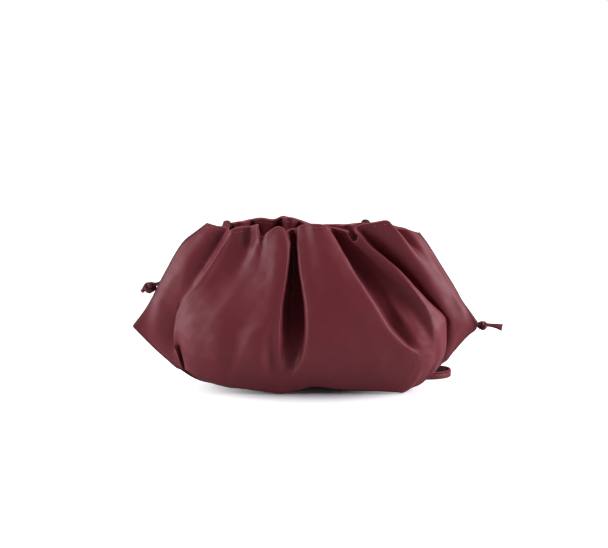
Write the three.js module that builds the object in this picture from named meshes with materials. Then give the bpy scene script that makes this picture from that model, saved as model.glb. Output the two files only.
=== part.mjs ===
import * as THREE from 'three';

// A gathered leather pouch: two pleated leather panels sewn along the side
// wings and the bottom, and a thin flat strap knotted at both wing edges.
// Millimetres, +Z up, the front of the bag looks along -Y.

// ---- sizes -------------------------------------------------------------
const LEATHER = 1.4;          // wall of a panel
const SEAM_GAP = 0.25;        // half the slit left between the two panels
const WING_TURN = 0.03;       // share of a wing line taken by its lower edge
const UNDERSIDE_FALL = 0.25;  // how steeply the underside sinks to its seam
const FADE = 0.08;            // half length of the run-out of a fold
const STRAP_WIDE = 5.0, STRAP_THICK = 1.8;
const LACE_WIDE = 3.0, LACE_THICK = 1.0;   // strap ends, skived thin

// Standing height of a fold line, 0 at its foot and 1 at the rim.
const HEIGHTS = [0, 0.25, 0.5, 0.75, 1];

// How the filled bag swells forward along a fold line of depth 1.
const SWELL = [
  // height, depth
  [0.00, 0.62], [0.04, 0.76], [0.10, 0.885], [0.18, 0.965], [0.28, 1.0],
  [0.40, 0.985], [0.55, 0.90], [0.70, 0.77], [0.85, 0.62], [1.00, 0.44],
];

// One row for each fold line, from the left seam to the right seam.
// x... and proud... are given at five heights: rim, high, mid, low, foot.
// proud is the distance from the seam plane, added to swell times SWELL.
// ends is the height at which a pleat runs out, 0 for one that runs through.
const FOLD_COLUMNS = ['name', 'xRim', 'xHigh', 'xMid', 'xLow', 'xFoot', 'zRim', 'zFoot',
  'swell', 'proudRim', 'proudHigh', 'proudMid', 'proudLow', 'proudFoot', 'ends'];

const FRONT_FOLDS = [
  ['left_seam', -62.1, -80.4, -90, -98.5, -110, 106.9, 40.7, 0, 1.7, 1.8, 2.6, 2.2, 1.7, 0],
  ['left_wing', -58, -75.7, -87, -93.8, -96, 105.8, 26.3, 0, 3.5, 7.6, 7.8, 6.6, 1.7, 0],
  ['left_crease', -52, -66.8, -79.2, -81.6, -81.4, 104.2, 13.6, 0, 5, 9, 10.2, 5.5, 1.7, 0],
  ['left_lip', -48, -62.6, -78.4, -83.4, -78.2, 102.8, 13, 0, 10, 15, 14, 13, 7, 0],
  ['b_valley', -37, -46.5, -60.6, -65.2, -63.2, 105.6, 7.6, 26.5, -2, -0.6, 1, 0.8, 1.8, 0],
  ['b_ridge', -31, -40.3, -53.6, -58, -55.3, 107.8, 5.9, 29.5, 2, 1.5, 0, 0.6, 1.8, 0],
  ['notch_left', -27.6, -34.2, -42.8, -47.3, -46.3, 100, 5.1, 31.3, -4.5, 0, -0.5, -0.5, 0, 0],
  ['b3_ridge', -18.4, -21, -29.6, -36.6, -36, 106.6, 3.7, 33, 2, 1.2, 0.6, 0.2, 0, 0],
  ['b3_hollow', -14.6, -15.6, -21.8, -26.6, -25.5, 106, 2, 33, 0, 0, -0.8, -0.8, 0, 0],
  ['pleat_left_shoulder', -13.6, -13.8, -16.9, -16.4, -16.2, 106, 0.6, 33, -0.5, 0, 0, 0.5, 0, 0],
  ['pleat_left_wall', -11.1, -10.6, -12.6, -12.2, -10.2, 104.6, 1.6, 33, -5, -8, -10, -10, 0, 0.13],
  ['pleat_floor', -8.6, -7.3, -7.6, -8.3, -9.1, 103.9, 2, 33, -10, -15, -18, -18, 0, 0.13],
  ['pleat_right_wall', -6.3, -4.8, -2.4, -4.3, -7.9, 104.8, 2.2, 33, -6, -8, -10, -10, 0, 0.13],
  ['pleat_right_lip', -5, -2.9, 0.2, -2.2, -6.3, 106.1, 2.6, 33, -1, 0.5, 1, 1, 0, 0],
  ['c_left', -0.9, 2.7, 8.2, 12.7, 4.5, 108.4, 5.2, 33.5, 1.5, 1.5, 1, 0.5, 0, 0],
  ['c_ridge', 4.7, 10.8, 20.1, 30.3, 25.1, 108.9, 3.6, 34, 2.5, 2, 1.5, 0.5, 0, 0],
  ['c_lip', 15.2, 30.7, 46.7, 64, 56.3, 107.7, 1.8, 33, 1.5, 2, 2.5, 1.5, 0, 0],
  ['d_floor', 20.7, 33.8, 50.3, 68.3, 62.1, 104.5, 0.9, 31, -9, -14, -17, -12, 0, 0.27],
  ['d_ridge', 25, 43.1, 62.7, 72.2, 66.6, 103.8, 2.8, 29, -5.6, -8, -8, -2, 0, 0.2],
  ['d_hollow', 29.2, 53.6, 74.8, 80.3, 71.1, 102.6, 5.9, 27, -4, -6.5, -8, -6, 0, 0.27],
  ['e_lip', 33.2, 55.8, 78.8, 89.4, 84.2, 106.2, 14.3, 0, 10.4, 16.5, 20, 19, 9, 0],
  ['e_undercut', 37, 57.4, 78.6, 88.8, 86.9, 105.9, 16.2, 0, 3.8, 4.4, 5.5, 5.5, 1.7, 0],
  ['f_face', 44.7, 63, 82.1, 92.4, 91.2, 108.8, 19.6, 0, 8, 8.5, 8, 7, 1.7, 0],
  ['f_lip', 53.3, 69.3, 85.7, 97.4, 97.7, 109.9, 28.6, 0, 8.5, 8.2, 6.8, 5.5, 1.7, 0],
  ['g_valley', 58.3, 75.3, 88.2, 99.6, 103.1, 104.1, 33.8, 0, 3.5, 5.5, 6, 4.5, 1.7, 0],
  ['g_top', 66.6, 78.6, 89, 99.1, 108.2, 102.7, 38.4, 0, 3.2, 4.2, 4.5, 3.5, 1.7, 0],
  ['right_seam', 72.6, 82.3, 91.3, 100, 110, 100.4, 42.1, 0, 1.7, 1.7, 1.7, 1.9, 2.5, 0],
];

const BACK_FOLDS = [
  ['left_seam', -62.1, -80.4, -90, -98.5, -110, 106.9, 40.7, 0, 1.7, 1.8, 2.6, 2.2, 1.7, 0],
  ['left_wing', -59.5, -75.9, -85.9, -92.5, -96, 105.6, 26.3, 0, 3.5, 6.5, 8, 7, 1.7, 0],
  ['left_crease', -56, -68, -79, -83, -78.8, 104.4, 11.9, 0, 4, 5.5, 6.5, 6, 1.7, 0],
  ['h_ridge', -50.5, -58, -70, -76, -72, 104.4, 8.6, 24, 3, 3, 2, 0, 0, 0],
  ['h_valley', -43, -49, -57, -62, -60, 104, 4.6, 29, -4, -6, -4, 0, 0, 0.42],
  ['i_ridge', -35.5, -38, -43, -47, -48, 107.4, 3.2, 32, 2, 2, 1, 0, 0, 0],
  ['i_valley', -28, -29, -31, -34, -36, 108.4, 2, 33, -0.5, -6, -7, -2, 0, 0.3],
  ['j_ridge', -20, -19.5, -19, -20, -24, 108, 0.5, 33.5, 1, 2, 1, 0, 0, 0],
  ['j_lip', -14.5, -13.5, -13, -13.5, -17, 109.7, 0.2, 33.3, 2, 1, -3, -3, 0, 0.2],
  ['j_valley', -11, -10, -8, -7, -10, 109.4, 0, 33, -2.5, -9, -11, -8, 0, 0.2],
  ['k_ridge', -3.5, -1, 2, 4, 3, 107.4, 0, 34, 1, 2, 1.5, 0.5, 0, 0],
  ['k_valley', 6.5, 9.5, 13, 17, 16, 105, 0, 33.5, -6, -7, -5, -1, 0, 0.38],
  ['l_ridge', 16, 19.5, 25, 30, 29, 105.5, 0, 34, 2.5, 2, 1, 0, 0, 0],
  ['l_valley', 27, 31, 37, 43, 41, 104.4, 0.5, 33, -7, -9, -9, -5, 0, 0.27],
  ['m_ridge', 38.5, 43, 50, 56, 53, 104.8, 1.5, 32, 2.5, 2, 1.5, 0, 0, 0],
  ['m_valley', 47, 53, 61, 68, 64, 104.4, 3, 29, -4.5, -6, -5, -1, 0, 0.38],
  ['n_ridge', 54, 61, 71, 79, 74, 105, 7, 25, 0.5, 1.5, 2, 0.5, 0, 0],
  ['right_crease', 60.5, 69, 80, 89, 86.9, 104, 16.1, 0, 4.6, 5.5, 6.5, 6, 1.7, 0],
  ['right_wing', 66, 76.5, 88, 97, 97.7, 102.6, 28.6, 0, 4, 6, 7, 6, 1.7, 0],
  ['right_top', 69.5, 79.8, 90, 99.6, 105.5, 101.5, 36.2, 0, 3, 4, 4.5, 3.5, 1.7, 0],
  ['right_seam', 72.6, 82.3, 91.3, 100, 110, 100.4, 42.1, 0, 1.7, 1.7, 1.7, 1.9, 2.5, 0],
];

// The strap from the left wing hole to the right one. wide is the direction
// of its width: upright on the ground, level where it hangs and at the rim.
const STRAP_COLUMNS = ['leg', 'x', 'y', 'z', 'wideX', 'wideY', 'wideZ', 'full'];
const STRAP_ROUTE = [
  ['left_hole', -93, 0, 68.25, 0.6, 0, -0.8, 0],
  ['left_hole', -90.6, 0, 70.2, 0.6, 0, -0.8, 0],
  ['left_inside', -84.5, 0.2, 75.8, 0.66, 0, -0.75, 0.4],
  ['left_inside', -74, 0.6, 85.5, 0.66, 0, -0.75, 1],
  ['left_inside', -64, 0.8, 93.8, 0.66, 0, -0.75, 1],
  ['left_inside', -56.5, 1, 99.2, 0.75, 0, -0.65, 1],
  ['left_mouth', -52, 3, 103, 0.93, 0, -0.35, 1],
  ['left_mouth', -50.6, 7.2, 105.3, 1, 0, 0, 1],
  ['left_rim', -50.5, 12.4, 106.6, 1, 0, 0, 1],
  ['left_drop', -50.5, 16.9, 104, 1, 0, 0, 1],
  ['left_drop', -50.5, 19.4, 97, 1, 0, 0, 1],
  ['left_drop', -50.5, 26, 76, 1, 0, 0, 1],
  ['left_drop', -50.5, 33, 54, 1, 0, 0, 1],
  ['left_drop', -50.5, 34.7, 40, 1, 0, 0, 1],
  ['left_drop', -50.5, 35, 26, 1, 0, 0, 1],
  ['left_drop', -50.5, 36.4, 15, 1, 0, 0, 1],
  ['left_landing', -50.5, 40, 6, 1, 0, 0, 1],
  ['left_landing', -50.3, 46, 2.2, 1, 0, 0.1, 1],
  ['left_landing', -48.8, 52.2, 2.2, 0.9, 0, 0.45, 1],
  ['left_landing', -45, 57.6, 2.7, 0.55, -0.25, 0.8, 1],
  ['far_strand', -38, 61.2, 2.75, 0.1, -0.1, 1, 1],
  ['far_strand', -27, 62.6, 2.75, 0, 0, 1, 1],
  ['far_strand', 15, 62.8, 2.75, 0, 0, 1, 1],
  ['far_strand', 56, 61.4, 2.75, 0, 0, 1, 1],
  ['loop', 72, 56.6, 2.75, 0, 0, 1, 1],
  ['loop', 82, 52.8, 2.75, 0, 0, 1, 1],
  ['loop', 89.4, 49, 2.75, 0, 0, 1, 1],
  ['loop', 94.1, 44.6, 2.75, 0, 0, 1, 1],
  ['loop', 95.3, 38, 2.75, 0, 0, 1, 1],
  ['loop', 93.2, 31.8, 2.75, 0, 0, 1, 1],
  ['loop', 87.5, 27.2, 2.75, 0, 0, 1, 1],
  ['loop', 79, 25.3, 2.75, 0, 0, 1, 1],
  ['near_strand', 69, 25.9, 2.75, 0, 0, 1, 1],
  ['near_strand', 58, 28.4, 2.75, 0, 0, 1, 1],
  ['near_strand', 42, 30.6, 2.75, 0, 0, 1, 1],
  ['near_strand', 14, 31, 2.75, 0, 0, 1, 1],
  ['near_strand', -30, 31, 2.75, 0, 0, 1, 1],
  ['left_turn', -36.7, 33.8, 2.75, 0, 0, 1, 1],
  ['left_turn', -39.5, 40.5, 2.75, 0, 0, 1, 1],
  ['left_turn', -36.7, 47.2, 2.75, 0, 0, 1, 1],
  ['inner_strand', -30, 50, 2.75, 0, 0, 1, 1],
  ['inner_strand', 14, 51.4, 2.75, 0, 0, 1, 1],
  ['right_turn', 26.5, 50.4, 2.75, 0, 0, 1, 1],
  ['right_turn', 33.8, 47.4, 3.4, 0.25, 0, 0.97, 1],
  ['right_lift', 37.5, 43.6, 6, 0.75, 0, 0.66, 1],
  ['right_lift', 38.5, 40.6, 10, 1, 0, 0.1, 1],
  ['right_drop', 38.5, 38.2, 15, 1, 0, 0, 1],
  ['right_drop', 38.5, 36, 22, 1, 0, 0, 1],
  ['right_drop', 38.5, 33.6, 38, 1, 0, 0, 1],
  ['right_drop', 38.5, 29.6, 64, 1, 0, 0, 1],
  ['right_drop', 38.5, 25.6, 87, 1, 0, 0, 1],
  ['right_drop', 38.5, 22, 98, 1, 0, 0, 1],
  ['right_drop', 38.5, 19.7, 103.9, 1, 0, 0, 1],
  ['right_rim', 38.5, 15.6, 106.8, 1, 0, 0, 1],
  ['right_mouth', 39.6, 9.5, 105.7, 0.97, 0.1, 0.1, 1],
  ['right_mouth', 44, 3.2, 102.2, 0.75, 0.1, 0.5, 1],
  ['right_inside', 52, 1.5, 98.3, 0.55, 0, 0.83, 1],
  ['right_inside', 63, 1, 91, 0.6, 0, 0.8, 1],
  ['right_inside', 75, 0.8, 80, 0.68, 0, 0.73, 1],
  ['right_inside', 88, 0.5, 65, 0.72, 0, 0.69, 1],
  ['right_inside', 99, -0.2, 52.4, 0.72, 0, 0.69, 0.3],
  ['right_hole', 106.5, 0, 44.6, 0.7, 0, 0.7, 0],
  ['right_hole', 109.2, 0, 42.4, 0.7, 0, 0.7, 0],
];

// The two knots: centre, loop size, lace radius, turn about the vertical and
// the side the stub leaves to (+1 right).
const KNOT_COLUMNS = ['name', 'x', 'z', 'loop', 'lace', 'turnDeg', 'stubSide'];
const KNOTS = [
  ['knot_left', -99.0, 66.0, 1.1, 0.6, 8, 1],
  ['knot_right', 113.7, 41.3, 1.0, 0.55, 48, -1],
];
// The ends of a knot: away from its middle, up, back, and how much wider the
// lace is there. The stub runs to the hole in the wing, the tail runs free.
const KNOT_END_COLUMNS = ['knot', 'end', 'out', 'up', 'back', 'wide'];
const KNOT_ENDS = [
  ['knot_left', 'stub', 5.1, 1.55, 0, 1],
  ['knot_left', 'stub', 3.6, 2.7, 0, 1],
  ['knot_left', 'stub', 2.1, 3.0, 0, 1],
  ['knot_left', 'tail', -2.2, 3.05, 0, 1],
  ['knot_left', 'tail', -3.5, 2.2, -0.4, 1],
  ['knot_left', 'tail', -4.2, 0.4, -0.4, 1.1],
  ['knot_left', 'tail', -4.9, -1.9, 0, 1.25],
  ['knot_right', 'stub', 3.4, 0.2, 0, 1],
  ['knot_right', 'stub', 3.1, 1.6, -0.5, 1],
  ['knot_right', 'stub', 2.0, 2.75, -0.8, 1],
  ['knot_right', 'tail', -2.0, 2.7, 0.8, 1],
  ['knot_right', 'tail', -3.3, 1.6, 0.6, 1],
  ['knot_right', 'tail', -5.5, 0.6, 0.2, 1.1],
  ['knot_right', 'tail', -9.0, 0.0, 0, 1.6],
  ['knot_right', 'tail', -12.8, -1.1, 0, 2.4],
];

// ---- small helpers -------------------------------------------------------
const named = (columns, rows) => rows.map(row =>
  Object.fromEntries(columns.map((c, i) => [c, row[i]])));
const clamp = (v, a, b) => Math.min(Math.max(v, a), b);
const smooth = (a, b, v) => { const t = clamp((v - a) / (b - a), 0, 1); return t * t * (3 - 2 * t); };

// Shape-keeping cubic through (xs, ys).
function curve(xs, ys, x) {
  const n = xs.length, h = [], s = [], m = new Array(n).fill(0);
  for (let i = 0; i < n - 1; i++) { h.push(xs[i + 1] - xs[i]); s.push((ys[i + 1] - ys[i]) / h[i]); }
  m[0] = s[0]; m[n - 1] = s[n - 2];
  for (let i = 1; i < n - 1; i++) if (s[i - 1] * s[i] > 0) {
    const a = 2 * h[i] + h[i - 1], b = h[i] + 2 * h[i - 1];
    m[i] = (a + b) / (a / s[i - 1] + b / s[i]);
  }
  x = clamp(x, xs[0], xs[n - 1]);
  let i = 0; while (i < n - 2 && x > xs[i + 1]) i++;
  const t = (x - xs[i]) / h[i], u = 1 - t;
  return (1 + 2 * t) * u * u * ys[i] + t * u * u * h[i] * m[i]
    + t * t * (3 - 2 * t) * ys[i + 1] - t * t * u * h[i] * m[i + 1];
}
const swellAt = w => curve(SWELL.map(r => r[0]), SWELL.map(r => r[1]), w);

// A point of one fold line; v runs from -1 at the bottom seam through 0 at
// the foot to 1 at the rim. Returned as (x, proud of the seam plane, z).
function foldPoint(f, v) {
  const footProud = f.swell * SWELL[0][1] + f.proudFoot;
  const wing = footProud < 3;
  const turn = wing ? WING_TURN : 0;
  const w = v >= 0 ? turn + (1 - turn) * v : turn * (1 + v);
  const fade = f.ends > 0 ? smooth(f.ends - FADE, f.ends + FADE, w) : 1;
  let x = curve(HEIGHTS, [f.xFoot, f.xLow, f.xMid, f.xHigh, f.xRim], w);
  let proud = f.swell * swellAt(w)
    + fade * curve(HEIGHTS, [f.proudFoot, f.proudLow, f.proudMid, f.proudHigh, f.proudRim], w);
  let z = f.zFoot + (f.zRim - f.zFoot) * w;
  if (!wing && v < 0) {
    const q = -v;
    x *= 1 - 0.03 * q;
    proud = footProud * (1 - q) + SEAM_GAP * q;
    z = Math.max(f.zFoot - UNDERSIDE_FALL * footProud * q, 0);
  }
  return new THREE.Vector3(x, proud, z);
}

// Rounded curve through the fold points of one height (centripetal).
function acrossRow(points, steps) {
  const q = [points[0].clone().multiplyScalar(2).sub(points[1]), ...points,
    points.at(-1).clone().multiplyScalar(2).sub(points.at(-2))];
  const t = [0];
  for (let i = 1; i < q.length; i++) t.push(t[i - 1] + Math.sqrt(q[i].distanceTo(q[i - 1])) + 1e-6);
  const mix = (a, b, ta, tb, s) => a.clone().multiplyScalar((tb - s) / (tb - ta)).addScaledVector(b, (s - ta) / (tb - ta));
  const out = [];
  for (let k = 0; k < points.length - 1; k++) for (let j = 0; j < steps[k]; j++) {
    const s = t[k + 1] + (t[k + 2] - t[k + 1]) * j / steps[k];
    const a1 = mix(q[k], q[k + 1], t[k], t[k + 1], s);
    const a2 = mix(q[k + 1], q[k + 2], t[k + 1], t[k + 2], s);
    const a3 = mix(q[k + 2], q[k + 3], t[k + 2], t[k + 3], s);
    const b1 = mix(a1, a2, t[k], t[k + 2], s), b2 = mix(a2, a3, t[k + 1], t[k + 3], s);
    out.push(mix(b1, b2, t[k + 1], t[k + 2], s));
  }
  out.push(points.at(-1).clone());
  return out;
}

// ---- a panel: outer face, inner face one leather wall behind it, edges ----
const PANEL_ROWS = [-1, -0.7, -0.4, -0.2, 0, 0.035, 0.08, 0.12, 0.16, 0.21, 0.27, 0.35, 0.44, 0.54, 0.64, 0.74, 0.84, 0.92, 1];

function panel(folds, side, pitch) {
  const mid = folds.map(f => foldPoint(f, 0.5));
  const steps = mid.slice(1).map((p, k) => clamp(Math.round(p.distanceTo(mid[k]) / pitch), 1, 4));
  const grid = PANEL_ROWS.map(v => acrossRow(folds.map(f => foldPoint(f, v)), steps)
    .map(p => new THREE.Vector3(p.x, side * Math.max(p.y, SEAM_GAP), Math.max(p.z, 0))));
  const R = grid.length, U = grid[0].length;
  const at = (r, u) => grid[clamp(r, 0, R - 1)][clamp(u, 0, U - 1)];
  const inner = grid.map((row, r) => row.map((p, u) => {
    const du = at(r, u + 1).clone().sub(at(r, u - 1)), dv = at(r + 1, u).clone().sub(at(r - 1, u));
    const n = du.cross(dv).multiplyScalar(-side).normalize();       // outward
    const q = p.clone().addScaledVector(n, -LEATHER);
    q.y = side * Math.max(side * q.y, SEAM_GAP);
    return q;
  }));
  const verts = [], faces = [];
  for (const g of [grid, inner]) for (const row of g) for (const p of row) verts.push(p.x, p.y, p.z);
  const id = (k, r, u) => k * R * U + r * U + u;
  const quad = (a, b, c, d) => { if (side < 0) faces.push(a, b, c, a, c, d); else faces.push(a, c, b, a, d, c); };
  for (let r = 0; r < R - 1; r++) for (let u = 0; u < U - 1; u++) {
    quad(id(0, r, u), id(0, r, u + 1), id(0, r + 1, u + 1), id(0, r + 1, u));
    quad(id(1, r, u), id(1, r + 1, u), id(1, r + 1, u + 1), id(1, r, u + 1));
  }
  for (let u = 0; u < U - 1; u++) {
    quad(id(0, 0, u + 1), id(0, 0, u), id(1, 0, u), id(1, 0, u + 1));
    quad(id(0, R - 1, u), id(0, R - 1, u + 1), id(1, R - 1, u + 1), id(1, R - 1, u));
  }
  for (let r = 0; r < R - 1; r++) {
    quad(id(0, r, 0), id(0, r + 1, 0), id(1, r + 1, 0), id(1, r, 0));
    quad(id(0, r + 1, U - 1), id(0, r, U - 1), id(1, r, U - 1), id(1, r + 1, U - 1));
  }
  return solid(verts, faces);
}

function solid(verts, faces) {
  const g = new THREE.BufferGeometry();
  g.setAttribute('position', new THREE.Float32BufferAttribute(verts, 3));
  g.setIndex(faces);
  return g;
}

// ---- swept leather: rings of a section along a line, closed at both ends ---
function sweep(rings) {
  const verts = [], faces = [], S = rings[0].length, R = rings.length;
  for (const ring of rings) for (const p of ring) verts.push(p.x, p.y, p.z);
  for (let r = 0; r < R - 1; r++) for (let s = 0; s < S; s++) {
    const a = r * S + s, b = r * S + (s + 1) % S, c = a + S, d = b + S;
    faces.push(a, b, d, a, d, c);
  }
  for (let s = 1; s < S - 1; s++) {
    faces.push(0, s + 1, s);
    faces.push((R - 1) * S, (R - 1) * S + s, (R - 1) * S + s + 1);
  }
  return solid(verts, faces);
}

function strap() {
  const route = named(STRAP_COLUMNS, STRAP_ROUTE);
  const line = new THREE.CatmullRomCurve3(route.map(p => new THREE.Vector3(p.x, p.y, p.z)), false, 'centripetal');
  const wide = route.map(p => new THREE.Vector3(p.wideX, p.wideY, p.wideZ));
  const rings = [], last = route.length - 1;
  const bends = new Set(['loop', 'left_turn', 'left_rim', 'right_rim', 'left_mouth', 'right_mouth']);
  for (let i = 0; i <= last; i++) {
    const cuts = i < last && bends.has(route[i].leg) ? [0, 0.5] : [0];
    for (const f of cuts) {
      const j = Math.min(i + 1, last), s = (i + f) / last;
      const p = line.getPoint(s), t = line.getTangent(s);
      const w = wide[i].clone().lerp(wide[j], f); w.addScaledVector(t, -w.dot(t)).normalize();
      const n = t.clone().cross(w);
      const full = route[i].full + (route[j].full - route[i].full) * f;
      const a = (LACE_WIDE + (STRAP_WIDE - LACE_WIDE) * full) / 2, b = (LACE_THICK + (STRAP_THICK - LACE_THICK) * full) / 2;
      const c = b * 0.45;
      rings.push([[a, -b + c], [a, b - c], [a - c, b], [-a + c, b], [-a, b - c], [-a, -b + c], [-a + c, -b], [a - c, -b]]
        .map(([k, m]) => p.clone().addScaledVector(w, k).addScaledVector(n, m)));
    }
  }
  return sweep(rings);
}

// An overhand knot: an opened trefoil between its stub and its tail.
const KNOT_OPEN = 0.55, KNOT_STEPS = 26, KNOT_SIDES = 6;
function knot(k) {
  const turn = THREE.MathUtils.degToRad(k.turnDeg);
  const ends = named(KNOT_END_COLUMNS, KNOT_ENDS).filter(e => e.knot === k.name)
    .map(e => ({ ...e, p: new THREE.Vector3(k.x + k.stubSide * e.out, e.back, k.z + e.up) }));
  const loop = [];
  for (let i = 0; i <= KNOT_STEPS; i++) {
    const t = Math.PI + KNOT_OPEN + 2 * (Math.PI - KNOT_OPEN) * i / KNOT_STEPS;
    const a = k.loop * (Math.sin(t) + 2 * Math.sin(2 * t)), c = -1.05 * k.loop * Math.sin(3 * t);
    const up = -k.loop * (Math.cos(t) - 2 * Math.cos(2 * t));
    loop.push({ wide: 1, p: new THREE.Vector3(
      k.x + k.stubSide * (a * Math.cos(turn) - c * Math.sin(turn)), a * Math.sin(turn) + c * Math.cos(turn), k.z + up) });
  }
  const path = [...ends.filter(e => e.end === 'stub'), ...loop, ...ends.filter(e => e.end === 'tail')];
  const line = new THREE.CatmullRomCurve3(path.map(e => e.p), false, 'centripetal');
  const n = new THREE.Vector3(0, 1, 0), last = path.length - 1;
  return sweep(path.map((e, i) => {
    const p = line.getPoint(i / last), t = line.getTangent(i / last);
    n.addScaledVector(t, -n.dot(t)).normalize();
    const w = t.clone().cross(n);
    return Array.from({ length: KNOT_SIDES }, (_, j) => {
      const a = 2 * Math.PI * j / KNOT_SIDES;
      return p.clone().addScaledVector(n, k.lace * Math.cos(a) / Math.sqrt(e.wide))
        .addScaledVector(w, k.lace * Math.sin(a) * e.wide);
    });
  }));
}

// ---- the assembly --------------------------------------------------------
const FRONT_PITCH = 4.9, BACK_PITCH = 6.3;
const pieces = {
  front_panel: panel(named(FOLD_COLUMNS, FRONT_FOLDS), -1, FRONT_PITCH),
  back_panel: panel(named(FOLD_COLUMNS, BACK_FOLDS), 1, BACK_PITCH),
  strap: strap(),
};
for (const k of named(KNOT_COLUMNS, KNOTS)) pieces[k.name] = knot(k);

// The origin is under the middle of the leather bag.
const bag = new THREE.Box3();
for (const name of ['front_panel', 'back_panel']) {
  pieces[name].computeBoundingBox();
  bag.union(pieces[name].boundingBox);
}
const mid = bag.getCenter(new THREE.Vector3());

const pouch = new THREE.Group();
pouch.name = 'clutch_bag';
for (const [name, geometry] of Object.entries(pieces)) {
  geometry.translate(-mid.x, -mid.y, -bag.min.z);
  geometry.computeVertexNormals();
  const mesh = new THREE.Mesh(geometry, new THREE.MeshStandardMaterial({ color: 0x652c33 }));
  mesh.name = name;
  pouch.add(mesh);
}
export default pouch;
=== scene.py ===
import math

import bpy
import numpy as np
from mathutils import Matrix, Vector


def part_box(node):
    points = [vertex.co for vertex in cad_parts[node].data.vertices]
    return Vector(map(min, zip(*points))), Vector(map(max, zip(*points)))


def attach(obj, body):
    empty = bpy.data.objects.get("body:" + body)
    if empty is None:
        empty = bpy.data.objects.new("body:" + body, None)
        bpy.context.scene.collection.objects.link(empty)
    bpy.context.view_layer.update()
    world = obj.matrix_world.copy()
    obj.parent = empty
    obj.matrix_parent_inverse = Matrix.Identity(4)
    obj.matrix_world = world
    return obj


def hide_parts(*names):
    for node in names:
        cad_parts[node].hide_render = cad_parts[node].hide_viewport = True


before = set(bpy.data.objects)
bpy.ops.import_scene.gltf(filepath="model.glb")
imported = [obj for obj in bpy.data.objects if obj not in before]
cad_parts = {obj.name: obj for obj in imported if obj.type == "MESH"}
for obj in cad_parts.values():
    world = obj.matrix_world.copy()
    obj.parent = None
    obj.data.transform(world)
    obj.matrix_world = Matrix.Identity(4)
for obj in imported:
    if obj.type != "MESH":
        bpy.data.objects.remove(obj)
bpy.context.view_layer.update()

# A gathered leather pouch. Sizes in the tables are millimetres; meshes are in metres.
# The front looks along -Y; SEAM_Y is the plane in which the two panels are sewn.
MM = 0.001
SEAM_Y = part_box("front_panel")[1][1] / MM + 0.25

LEATHER = 1.2            # wall of a panel
HEM = 2.0                # wall along the rim, where the leather is turned in
HEM_DEEP = 7.5           # how far down the turned-in leather reaches
SEAM_ROUND = 1.0         # rounding of the sewn wing edges
WING_TURN = 0.03
UNDERSIDE_FALL = 0.25    # how steeply the underside sinks towards its seam
FADE = 0.08
STRAP_WIDE, STRAP_THICK = 5.0, 1.8
LACE_WIDE, LACE_THICK = 3.0, 1.0
RIM_BOW = 0.9            # how far the strap bows down at its edges where it runs over the rim

# ---------------------------------------------------------------- camera ----
AIM = Vector((-0.00093, SEAM_Y * MM, 0.0745))
AWAY, ABOVE = 1.5, math.radians(9.0)
camera_data = bpy.data.cameras.new("camera")
camera_data.lens, camera_data.sensor_width = 138.8, 36.0
camera_data.clip_start, camera_data.clip_end = 0.05, 60
camera = bpy.data.objects.new("camera", camera_data)
bpy.context.scene.collection.objects.link(camera)
camera.location = AIM + Vector((0, -AWAY * math.cos(ABOVE), AWAY * math.sin(ABOVE)))
camera.rotation_euler = (AIM - camera.location).to_track_quat("-Z", "Y").to_euler()
bpy.context.scene.camera = camera

# ---------------------------------------------------------------- tables ----
HEIGHTS = [0, 0.25, 0.5, 0.75, 1]
SWELL = np.array([
    # height, depth
    [0.00, 0.62], [0.04, 0.76], [0.10, 0.885], [0.18, 0.965], [0.28, 1.0],
    [0.40, 0.985], [0.55, 0.90], [0.70, 0.77], [0.85, 0.62], [1.00, 0.44],
])

FOLD_COLUMNS = ["name", "xRim", "xHigh", "xMid", "xLow", "xFoot", "zRim", "zFoot",
                "swell", "proudRim", "proudHigh", "proudMid", "proudLow", "proudFoot", "ends"]
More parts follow.
